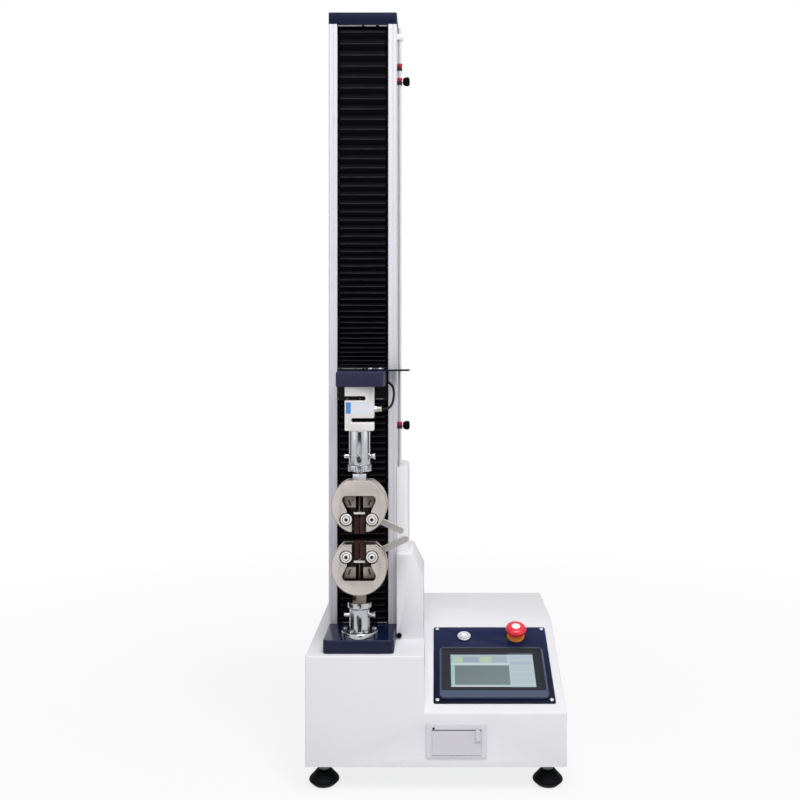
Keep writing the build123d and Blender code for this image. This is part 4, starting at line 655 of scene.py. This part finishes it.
def pick(piece, test, kind="FACE"):
    """Select the faces, edges or points of a piece whose middle passes a test, in edit mode."""
    take(piece)
    edit()
    bpy.ops.mesh.select_mode(type=kind)
    bpy.ops.mesh.select_all(action="DESELECT")
    edit(False)
    mesh = piece.data
    if kind == "FACE":
        for face in mesh.polygons:
            face.select = test(face.center)
    elif kind == "VERT":
        for point in mesh.vertices:
            point.select = test(point.co)
    else:
        for edge in mesh.edges:
            ends = [mesh.vertices[index].co for index in edge.vertices]
            edge.select = test((ends[0] + ends[1]) / 2)
    edit()


def turned_outwards():
    """Turn every face of the piece in hand outwards, and leave edit mode."""
    bpy.ops.mesh.select_all(action="SELECT")
    bpy.ops.mesh.normals_make_consistent(inside=False)
    edit(False)


def changed(piece, kind, **settings):
    """Apply a modifier with some settings."""
    take(piece)
    modifier = piece.modifiers.new("change", kind)
    for key, value in settings.items():
        setattr(modifier, key, value)
    bpy.ops.object.modifier_apply(modifier=modifier.name)


def rounded(piece, width, segments=2, angle=35.0):
    """Round the edges that are sharper than an angle."""
    limit = {"limit_method": "ANGLE", "angle_limit": math.radians(angle)}
    changed(piece, "BEVEL", width=width, segments=segments, **limit)


def carved(piece, cutter):
    """Cut the shape of a cutter out of a piece, and take the cutter away."""
    changed(piece, "BOOLEAN", operation="DIFFERENCE", solver="EXACT", object=cutter)
    bpy.data.objects.remove(cutter)


def box(middle, size):
    """A box of some size round a point."""
    deselect()
    bpy.ops.mesh.primitive_cube_add(size=1.0, location=middle)
    piece = bpy.context.object
    piece.scale = size
    bpy.ops.object.transform_apply()
    return piece


def dressed(piece, name, look, smooth_angle=35.0):
    """Bring a piece to the origin, shade it, name it and give it its finish."""
    take(piece)
    bpy.ops.object.transform_apply()
    bpy.ops.object.shade_smooth_by_angle(angle=math.radians(smooth_angle))
    piece.name = name
    piece.data.name = name
    piece.data.materials.clear()
    piece.data.materials.append(look)


def settle(piece, name, node, look, stands_for_it=True):
    """Finish a piece and fix it to the body of a node, which it may stand for."""
    dressed(piece, name, look)
    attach(piece, body_of[node])
    if stands_for_it:
        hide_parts(node)


def paint(piece, look, test):
    """Give a second finish to the faces whose middle passes a test."""
    piece.data.materials.append(look)
    index = len(piece.data.materials) - 1
    for face in piece.data.polygons:
        if test(face.center):
            face.material_index = index


# %% [markdown]
# Many solids only lack the softened edge that every real part has, and that a lamp shows
# as a thin bright line. A copy of the solid is merged, its flat faces are joined, and its
# sharp edges get a small bevel. Faces that another piece models again are dropped first.


# %% Softened copies of the solids
def softened(node, look, width, name=None, drop=None):
    """A copy of a node with rounded edges, which stands for the node."""
    piece = in_scene(node, nodes[node].data.copy())
    pick(piece, lambda middle: False)
    edit(False)
    if drop:
        points = piece.data.vertices
        for face in piece.data.polygons:
            face.select = all(drop(points[index].co) for index in face.vertices)
        edit()
        bpy.ops.mesh.delete(type="FACE")
        edit(False)
    edit()
    bpy.ops.mesh.select_all(action="SELECT")
    bpy.ops.mesh.remove_doubles(threshold=2e-6)
    bpy.ops.mesh.dissolve_limited(angle_limit=math.radians(0.5))
    edit(False)
    rounded(piece, width)
    settle(piece, name or node + "_part", node, look)
    return piece


def clad(node, look):
    """Give a node that keeps its own mesh a better finish."""
    mesh = nodes[node].data
    if not mesh.materials:
        mesh.materials.append(look)
    nodes[node].material_slots[0].link = "OBJECT"
    nodes[node].material_slots[0].material = look


soft_edges = (
    (white_coat, 0.0006, "cabinet_shell"),
    (white_coat, 0.0008, "side_casing"),
    (white_coat, 0.0003, "rear_panel"),
    (column_coat, 0.0004, "column_extrusion"),
    (block_enamel, 0.0006, "column_base_block"),
    (navy_enamel, 0.0004, "column_cap"),
    (arm_enamel, 0.0006, "crosshead_arm"),
    (cell_nickel, 0.0006, "load_cell"),
    (chrome, 0.0004, "upper_socket"),
    (bezel, 0.0006, "touchscreen_housing"),
    (printer_plastic, 0.0002, "printer_housing"),
    (black_plastic, 0.0004, "power_inlet"),
    (lever_steel, 0.0008, "upper_grip_lever", "lower_grip_lever"),
    (upper_jaw_steel, 0.0003, "upper_left_jaw", "upper_right_jaw"),
    (lower_jaw_steel, 0.0003, "lower_left_jaw", "lower_right_jaw"),
    (frame_black, 0.0003, "crosshead_bellows_frames", "column_bellows_frames"),
)
for look, width, *names in soft_edges:
    for node in names:
        softened(node, look, width)
print("softened the solids of", len(soft_edges), "finishes")

# %% [markdown]
# The parts inside the cabinet and the column are seen only through a slot or an open
# door, so they keep their solids and get a finish.

# %% Finishes of the solids that stay
kept = {
    "base_plate": zinc_steel,
    "column_guides": ground_steel,
    "control_electronics": board_plastic,
    "crosshead_carriage": carriage_black,
    "drive_belt": rubber,
    "drive_motor": motor_paint,
    "lead_screw": ground_steel,
    "limit_rod": rod_steel,
    "motor_pulley": satin_aluminium,
    "paper_roll": paper,
    "rocker_switch": black_plastic,
    "touchscreen_glass": touch_screen,
    "upper_cross_pin": chrome_across,
    "lower_cross_pin": chrome_across,
    "printer_latch": printer_door_plastic,
    "printer_door": printer_door_plastic,
    "load_cell_gland": lever_steel,
}
for ring in ring_heights:
    kept[ring + "_stop_ring"] = ring_finish(ring)
for node, look in kept.items():
    clad(node, look)
print("clad", len(kept), "solids")


# %% [markdown]
# ## Turned pieces
# Feet, knobs, buttons and pivots are round. Each starts as a flat circle that is extruded
# and scaled, ring after ring, as a lathe would shape it, and is then stood in its place.


# %% The lathe
def turned(rings, centre, axis=up, sides=48):
    """A round piece on a point, from rings of radius and height in millimetres on an axis."""
    rings = [(radius / 1000, height / 1000) for radius, height in rings]
    deselect()
    bpy.ops.mesh.primitive_circle_add(
        vertices=sides, radius=rings[0][0], fill_type="NGON", location=(0.0, 0.0, rings[0][1])
    )
    piece = bpy.context.object
    bpy.ops.object.transform_apply()
    edit()
    bpy.ops.mesh.select_all(action="SELECT")
    for (radius, height), (next_radius, next_height) in zip(rings, rings[1:]):
        rise = {"value": (0, 0, next_height - height)}
        bpy.ops.mesh.extrude_region_move(TRANSFORM_OT_translate=rise)
        ratio = next_radius / radius
        bpy.ops.transform.resize(value=(ratio, ratio, 1), center_override=(0, 0, next_height))
    turned_outwards()
    piece.rotation_mode = "QUATERNION"
    piece.rotation_quaternion = Vector(up).rotation_difference(Vector(axis))
    piece.location = centre
    bpy.ops.object.transform_apply()
    return piece


# %% [markdown]
# A levelling foot is a flat rubber cone, widest just above the floor, with a steel nut on
# its stud under the cabinet.


# %% Levelling feet
foot_rings = (
    (16.6, 0.0), (18.0, 0.3), (19.6, 1.5), (23.4, 5.0), (26.1, 7.7), (26.9, 9.0), (27.0, 10.6),
    (26.5, 12.6), (24.7, 15.2), (21.2, 18.9), (17.8, 22.6), (14.8, 26.1), (13.2, 27.6),
    (12.2, 28.0), (9.0, 28.0),
)
nut_rings = ((9.0, 27.9), (9.8, 28.5), (9.8, 33.4), (9.0, 34.0), (5.1, 34.0))
stud_rings = ((5.0, 33.5), (5.0, 62.6), (4.5, 63.0))
rubber_top = 0.02805
foot_x, foot_y = 0.2, 0.19
for corner in ("front_left", "front_right", "rear_left", "rear_right"):
    x = -foot_x if "left" in corner else foot_x
    place = (x, -foot_y if "front" in corner else foot_y, 0.0)
    foot = turned(foot_rings, place, sides=56)
    nut = turned(nut_rings, place, sides=6)
    stud = turned(stud_rings, place, sides=24)
    take(foot)
    nut.select_set(True)
    stud.select_set(True)
    bpy.ops.object.join()
    node = corner + "_foot"
    settle(foot, node + "_part", node, rubber)
    paint(foot, foot_steel, lambda middle: middle.z > rubber_top)
print("feet ready")

# %% [markdown]
# The emergency stop is a red mushroom on an orange collar. Its top carries a white disc.
# The power button beside it is a domed metal cap with a ring that lights up.

# %% Emergency stop
estop_place = on_slope(0.1545, 0.1985, 0.002)
estop_rings = (
    (6.9, -20.0), (7.0, -19.6), (7.0, 14.5), (18.4, 14.5), (19.6, 15.0), (20.0, 16.2),
    (20.0, 18.4), (19.7, 20.0), (18.9, 21.6), (17.4, 23.3), (15.4, 24.7), (13.2, 25.6),
    (11.0, 25.9), (8.8, 26.0), (8.4, 25.5),
)
head = turned(estop_rings, estop_place, slope_out, sides=64)
settle(head, "estop_mushroom", "estop_head", stop_red)
disc_rings = ((8.2, 25.1), (8.2, 25.6), (7.8, 25.9), (5.0, 26.05), (2.0, 26.1))
disc = turned(disc_rings, estop_place, slope_out)
settle(disc, "estop_disc", "estop_head", white_plastic, False)

collar = softened("panel_switch_bodies", stop_orange, 0.0006, name="switch_collars")
paint(collar, bright_steel, lambda middle: middle.x < panel_x)

# %% Power button
button_place = on_slope(0.0545, 0.1985, 0.0)
button_rings = (
    (8.9, -4.5), (9.0, -4.3), (9.0, 6.6), (8.7, 7.1), (7.2, 7.25), (7.1, 6.95),
    (6.1, 6.95), (6.0, 7.35), (3.5, 7.48), (1.5, 7.5),
)
cap = turned(button_rings, button_place, slope_out)
settle(cap, "power_button_cap", "power_button", pivot_steel)


def near_button_ring(middle):
    away = middle - button_place
    rise = away.dot(slope_out)
    return rise > 0.0068 and 0.0058 < (away - rise * slope_out).length < 0.0073


paint(cap, blue_ring, near_button_ring)
print("switches ready")

# %% [markdown]
# The stop rings are clamped on their rod with black thumb knobs. A knob has a rounded end
# and a fluted rim, tapers towards the ring and stands on a short bright stem.

# %% Thumb knobs
rod_x = -0.0683
rod_y = -0.100
flutes = 12
flute_depth = 0.045
knob_rings = (
    (2.0, 3.3), (2.0, 5.9), (4.4, 5.9), (5.4, 6.4), (6.8, 8.2), (7.9, 10.6), (8.5, 13.2),
    (8.45, 15.2), (8.0, 16.8), (7.0, 18.0), (5.4, 18.7), (2.6, 18.9),
)
for ring in ("upper", "lower"):
    height = ring_heights[ring]
    knob = turned(knob_rings, (rod_x, rod_y, height), right)
    for point in knob.data.vertices:
        if 0.0083 < point.co.x - rod_x < 0.0180:
            turn = math.atan2(point.co.y - rod_y, point.co.z - height)
            pull = 1 - flute_depth * (0.5 + 0.5 * math.cos(flutes * turn))
            point.co.y = rod_y + (point.co.y - rod_y) * pull
            point.co.z = height + (point.co.z - height) * pull
    node = ring + "_ring_knob"
    settle(knob, node + "_part", node, knob_plastic)
    paint(knob, bright_steel, lambda middle: middle.x < rod_x + 0.0058)
print("knobs ready")

# %% [markdown]
# ## Grips
# A grip is a thick disc with a window. Two jaws swing on the pivots beside the window,
# and their serrated faces meet below it. The pivots have bright heads with a hexagon
# socket, sunk in recesses painted dark as painted shade.


# %% Grip bodies
seat_y = -0.1945
face_y = -0.1969
head_radius = 0.01035
recess_radius = 0.0113
pivot_places = {}
for grip, height in pivot_heights.items():
    for side_name, side in (("left", -1), ("right", 1)):
        place = Vector((column_x + side * pivot_offset, seat_y, height))
        pivot_places[grip + "_" + side_name] = place


def from_axis(point, place):
    """How far a point lies from the axis of a pivot."""
    return math.hypot(point.x - place.x, point.z - place.z)


def near_pivot(point, radius):
    """Whether a point lies within a radius of one of the four axes."""
    return any(from_axis(point, place) < radius for place in pivot_places.values())


def in_head(point):
    return near_pivot(point, head_radius) and point.y < seat_y + 0.0001


def in_recess(middle):
    return near_pivot(middle, recess_radius) and face_y < middle.y < seat_y + 0.0002


grip_looks = {
    "upper": grip_finish("upper", 0.4990, 0.0687, 1.0),
    "lower": grip_finish("lower", 0.3886, 0.0680, -1.0),
}
for grip, look in grip_looks.items():
    body = softened(grip + "_grip_body", look, 0.0007, drop=in_head)
    # painted shade: the recess round each pivot head is painted dark
    paint(body, painted_shade_steel, in_recess)
print("grip bodies ready")

# %% [markdown]
# The far corners of a window have a radius of 7 mm. The solids leave three of the four
# sharp, so a small fillet is cut for each of them and set into it.

# %% Window corners
window_radius = 0.007
window_width = 0.046
window_y = -0.1914
window_depth = 0.0113
lap = 0.001
leg = window_radius + lap
round_rings = ((7.0, -8.0), (7.0, 8.0))
for corner, side, far, way in (
    ("upper_left", -1, 0.5170, 1), ("upper_right", 1, 0.5170, 1), ("lower_left", -1, 0.3649, -1)
):
    x = column_x + side * window_width / 2
    z = far - way * window_radius
    fillet = box((x + side * leg / 2, window_y, z + way * leg / 2), (leg, window_depth, leg))
    carved(fillet, turned(round_rings, (x, window_y, z), front))
    grip = corner.split("_")[0]
    name = corner + "_window_fillet"
    settle(fillet, name, grip + "_grip_body", grip_looks[grip], False)
print("window corners ready")

# %% [markdown]
# A pivot is turned with a wide bright head and a raised cap, and a hexagon socket is cut
# into the cap. It is made once, at the first of its four places, and copied to the others.

# %% Pivots
head_rings = (
    (4.9, 0.0), (9.9, 0.0), (10.2, 0.3), (10.2, 2.1), (9.8, 2.5), (7.2, 2.5), (7.0, 2.0),
    (6.2, 2.0), (6.2, 4.1), (5.8, 4.5), (3.0, 4.5),
)
socket_rings = ((3.4, 2.5), (3.4, 6.0))
groove = (0.0074, -0.1968)
socket = (0.0036, -0.1989)
first_place = pivot_places["upper_left"]
pivot_head = turned(head_rings, first_place, front)
carved(pivot_head, turned(socket_rings, first_place, front, sides=6))
for name, place in pivot_places.items():
    piece = in_scene("pivot", pivot_head.data.copy())
    piece.location = place - first_place
    settle(piece, name + "_pivot", name.split("_")[0] + "_grip_body", pivot_steel, False)
    # painted shade: the groove at the foot of each cap and its hexagon socket are painted dark
    for radius, rim_y in (groove, socket):
        paint(piece, painted_shade_steel, lambda at: from_axis(at, place) < radius and at.y > rim_y)
bpy.data.objects.remove(pivot_head)
print("pivots ready")

# %% [markdown]
# The studs and the lower socket hold the grips. They are bright turned parts, and the nut
# of the lower stud has a bronze tint.

# %% Couplings
softened("lower_socket", socket_finish(), 0.0005)
softened("upper_stud", chrome, 0.0004)
lower_stud = softened("lower_stud", chrome, 0.0005)
paint(lower_stud, bronze_nut, lambda middle: middle.z > 0.3243)
print("couplings ready")

# %% [markdown]
# The load cell carries a film label between its slots, a pale field with a blue band. A
# thin plate with cut corners stands for each of the two.


# %% Label of the load cell
def film(name, start, end, low, high, look, lift):
    """A thin film on the front of the load cell, between two sides and two heights."""
    middle = ((start + end) / 2, -0.1915 - lift / 2, (low + high) / 2)
    piece = box(middle, (end - start, lift, high - low))
    pick(piece, lambda point: abs(point.y - middle[1]) < 1e-5, "EDGE")
    bpy.ops.mesh.bevel(offset=0.0012, segments=4)
    edit(False)
    settle(piece, name, "load_cell", look, False)


film("cell_label", -0.1625, -0.1126, 0.6622, 0.6845, label_film, 0.00015)
film("cell_label_band", -0.1615, -0.1525, 0.6632, 0.6835, label_band, 0.0002)
print("label ready")

# %% [markdown]
# ## Control panel
# The panel is a dark film on a plate, held by a bright screw at each corner. The striker
# plate on the arm has bright screws too, and the rod guides are pale plastic with a black
# bush at the foot.

# %% Panel plate and striker plate
plate = softened("control_panel_plate", panel_film, 0.0003)
paint(plate, bright_steel, lambda middle: (middle - slope_origin).dot(slope_out) > 0.00205)
striker = softened("striker_plate", navy_enamel, 0.0003)
paint(striker, bright_steel, lambda middle: middle.z > arm_top)
guides = softened("rod_guides", guide_plastic, 0.0003)
paint(guides, rubber, lambda middle: middle.y < -0.1199 or middle.z < 0.2700)
print("plates ready")

# %% Status lamp of the printer
lamp_rings = ((2.2, -0.5), (2.2, 0.3), (1.8, 0.8), (0.6, 1.0))
status_lamp = turned(lamp_rings, (-0.0042, -0.2275, 0.1137), front, sides=24)
settle(status_lamp, "printer_status_lamp", "printer_housing", lamp_lens, False)
print("status lamp ready")

# %% [markdown]
# ## Bellows
# The bellows keep dust off the screw. They are coated cloth folded like a concertina,
# with mitred corners, so every crest is a flat U that is a little narrower than the slot.
# The folds of the upper bellows open out towards the top. The plan of the bellows is
# extruded fold by fold, drawn in at each valley and let out at each crest, and the folds
# are then made slightly uneven, as cloth is.

# %% Bellows
bellows_back = -0.0900
bellows_width = 0.0920
bellows_depth = 0.0175
fold_depth = 0.0068
side_fold = 0.0012
crest_edge = 0.0010
narrow = (bellows_width - 2 * side_fold) / bellows_width
shallow = (bellows_depth - fold_depth) / bellows_depth


def folded(name, low, high, folds, ratio):
    """Folds between two heights, the last one higher than the first by a ratio."""

    def height(step):
        share = (step + (ratio - 1) * step * step / (2 * folds)) / (folds * (1 + ratio) / 2)
        return low + (high - low) * share

    deselect()
    middle_y = bellows_back - bellows_depth / 2
    bpy.ops.mesh.primitive_plane_add(size=1.0, location=(column_x, middle_y, low))
    piece = bpy.context.object
    piece.scale = (bellows_width, bellows_depth, 1.0)
    bpy.ops.object.transform_apply()
    pick(piece, lambda point: point.y < middle_y, "VERT")
    bpy.ops.mesh.bevel(affect="VERTICES", offset=0.0042, segments=1)
    pick(piece, lambda middle: middle.y < middle_y and abs(middle.x - column_x) < 0.01, "EDGE")
    bpy.ops.mesh.subdivide(number_cuts=9)
    bpy.ops.mesh.select_all(action="SELECT")
    hinge = (column_x, bellows_back, low)
    bpy.ops.transform.resize(value=(narrow, shallow, 1), center_override=hinge)
    at = low
    for fold in range(folds):
        crest = height(fold + 0.5)
        for level, scale in (
            (crest - crest_edge / 2, (1 / narrow, 1 / shallow, 1)),
            (crest + crest_edge / 2, None),
            (height(fold + 1), (narrow, shallow, 1)),
        ):
            rise = {"value": (0, 0, level - at)}
            bpy.ops.mesh.extrude_region_move(TRANSFORM_OT_translate=rise)
            at = level
            if scale:
                hinge = (column_x, bellows_back, at)
                bpy.ops.transform.resize(value=scale, center_override=hinge)
    bpy.ops.mesh.select_all(action="SELECT")
    bpy.ops.mesh.remove_doubles(threshold=1e-6)
    turned_outwards()
    for point in piece.data.vertices:
        if low + 0.003 < point.co.z < high - 0.003 and point.co.y < bellows_back - 0.003:
            wave = noise.noise(Vector((point.co.x * 30, point.co.z * 55, 3.0)))
            point.co.z += 0.0005 * wave
            point.co.y += 0.0002 * noise.noise(Vector((point.co.x * 60, 7.0, point.co.z * 90)))
    rounded(piece, 0.0002, 1, 25.0)
    dressed(piece, name, bellows_cloth, 25.0)
    return piece


def stretches(piece, node, fixed, moving):
    """Let a bellows open and close evenly between the frame and the crosshead."""
    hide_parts(node)
    ends = [(column_x, bellows_back, height) for height in (fixed, moving)]
    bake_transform(piece, "machine_frame", "crosshead", *ends)
    weights = piece.data.attributes["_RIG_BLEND"].data
    for weight, point in zip(weights, piece.data.vertices):
        share = (point.co.z - fixed) / (moving - fixed)
        weight.value = min(1.0, max(0.0, share))


upper_bellows = folded("upper_bellows_folds", 0.7463, 1.3850, 44, 3.1)
stretches(upper_bellows, "upper_bellows", 1.3850, 0.7463)
lower_bellows = folded("lower_bellows_folds", 0.2680, 0.6827, 34, 1.0)
stretches(lower_bellows, "lower_bellows", 0.2680, 0.6827)
print("bellows ready")

# %% [markdown]
# ## Lead of the load cell
# The lead leaves the gland, bows out in front of the column and goes into the side of the
# arm. It is about 95 mm long, and a spline through a few points gives it an even curve.

# %% Lead
lead_route = (
    (-0.0980, -0.1790, 0.6710),
    (-0.0870, -0.1790, 0.6710),
    (-0.0795, -0.1715, 0.6780),
    (-0.0765, -0.1560, 0.6925),
    (-0.0780, -0.1405, 0.7060),
    (-0.0825, -0.1300, 0.7145),
    (-0.0950, -0.1215, 0.7215),
)
lead_curve = bpy.data.curves.new("lead", "CURVE")
lead_curve.dimensions = "3D"
lead_curve.bevel_depth = 0.00225
lead_curve.bevel_resolution = 5
lead_curve.resolution_u = 16
lead_curve.use_fill_caps = True
spline = lead_curve.splines.new("NURBS")
spline.points.add(len(lead_route) - 1)
for point, place in zip(spline.points, lead_route):
    point.co = (*place, 1.0)
spline.order_u = 3
spline.use_endpoint_u = True
lead = in_scene("cell_lead", lead_curve)
lead_curve.materials.append(lead_rubber)
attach(lead, "crosshead")
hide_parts("load_cell_lead")
print("lead ready")

# %% [markdown]
# ## Studio
# The floor is plain and pale, and the room behind it is white, so the machine stands as
# it does in the photograph. For the camera and in reflections the floor glows towards
# white with the distance, so that no horizon shows, and near the machine it keeps its
# shadow. A wide lamp above and in front of the machine models the forms, a weak one at
# each side fills in, and the room gives the rest.


# %% Floor
def seen_directly(tree):
    """A socket that is 1 for the camera and in reflections, and 0 for light on things."""
    rays = tree.nodes.new("ShaderNodeLightPath")
    seen = rays.outputs["Is Camera Ray"]
    for kind in ("Is Glossy Ray", "Is Transmission Ray"):
        either = tree.nodes.new("ShaderNodeMath")
        either.operation = "MAXIMUM"
        tree.links.new(seen, either.inputs[0])
        tree.links.new(rays.outputs[kind], either.inputs[1])
        seen = either.outputs[0]
    return seen


def blended(tree, share, first, second, surface):
    """Mix two shaders by a share and send the result to a surface."""
    blend = tree.nodes.new("ShaderNodeMixShader")
    tree.links.new(share, blend.inputs["Fac"])
    tree.links.new(first.outputs[0], blend.inputs[1])
    tree.links.new(second.outputs[0], blend.inputs[2])
    tree.links.new(blend.outputs[0], surface.inputs["Surface"])


floor_look = Look("studio_floor", srgb(236, 236, 238), 0.9)
tree = floor_look.tree
away = floor_look.vector("LENGTH", floor_look.place(), output="Value")
far = ((away - 0.35) * 0.6).kept_in()
share = Wire(floor_look, seen_directly(tree)) * (0.80 + far * 0.20)
glow = white(tree.nodes.new("ShaderNodeEmission"), 1.0)
blended(tree, share.socket, floor_look.shader, glow, tree.nodes["Material Output"])
deselect()
bpy.ops.mesh.primitive_plane_add(size=24.0, location=(0.0, 4.0, 0.0))
floor = bpy.context.object
bpy.ops.object.transform_apply()
floor.name = "studio_floor"
floor.data.materials.append(floor_look.material)


# %% Lamps
def lamp(name, place, aim, size, power):
    data = bpy.data.lights.new(name, "AREA")
    data.shape = "RECTANGLE"
    data.size, data.size_y = size
    data.energy = power
    piece = in_scene(name, data)
    piece.location = place
    piece.rotation_euler = (Vector(aim) - Vector(place)).to_track_quat("-Z", "Y").to_euler()


lamp("key_lamp", (0.7, -2.9, 5.2), (0.0, 0.0, 0.6), (3.6, 3.2), 250.0)
lamp("left_lamp", (-3.6, -2.4, 1.8), (0.0, 0.0, 0.7), (2.4, 2.4), 11.0)
lamp("right_lamp", (3.6, -1.6, 1.8), (0.0, 0.0, 0.7), (2.4, 2.4), 11.0)

# %% [markdown]
# In an all-white room dark paint looks grey and chrome looks like paper, because both
# mirror the room. Photographers stand dark cards round the object for this. These are
# seen in reflections only: one behind the camera, one at each side, and two near the floor,
# in front and at the left, for the lower parts.


# %% Dark cards
def card(name, place, turn, size):
    look = Look(name, srgb(20, 20, 22), 1.0, Specular_IOR_Level=0.0)
    deselect()
    stance = (math.radians(90), 0.0, math.radians(turn))
    bpy.ops.mesh.primitive_plane_add(size=1.0, location=place, rotation=stance)
    piece = bpy.context.object
    piece.scale = (*size, 1.0)
    bpy.ops.object.transform_apply()
    piece.name = name
    piece.data.materials.append(look.material)
    for kind in ("camera", "diffuse", "shadow", "transmission"):
        setattr(piece, "visible_" + kind, False)


card("card_front", (0.0, -4.2, 1.0), 0.0, (2.6, 4.4))
card("card_left", (-2.4, 0.7, 0.9), 70.0, (1.0, 2.6))
card("card_right", (2.4, 0.7, 0.9), 110.0, (1.0, 2.6))
card("card_low_front", (0.0, -0.97, 0.18), 0.0, (0.26, 0.34))
card("card_low_left", (-0.95, -0.15, 0.18), 90.0, (1.0, 0.34))

# %% Room
world = bpy.data.worlds.new("white_room")
scene.world = world
world.use_nodes = True
room = world.node_tree
room.nodes.clear()
walls = [white(room.nodes.new("ShaderNodeBackground"), strength) for strength in (0.3, 1.0)]
blended(room, seen_directly(room), *walls, room.nodes.new("ShaderNodeOutputWorld"))
print("studio ready")
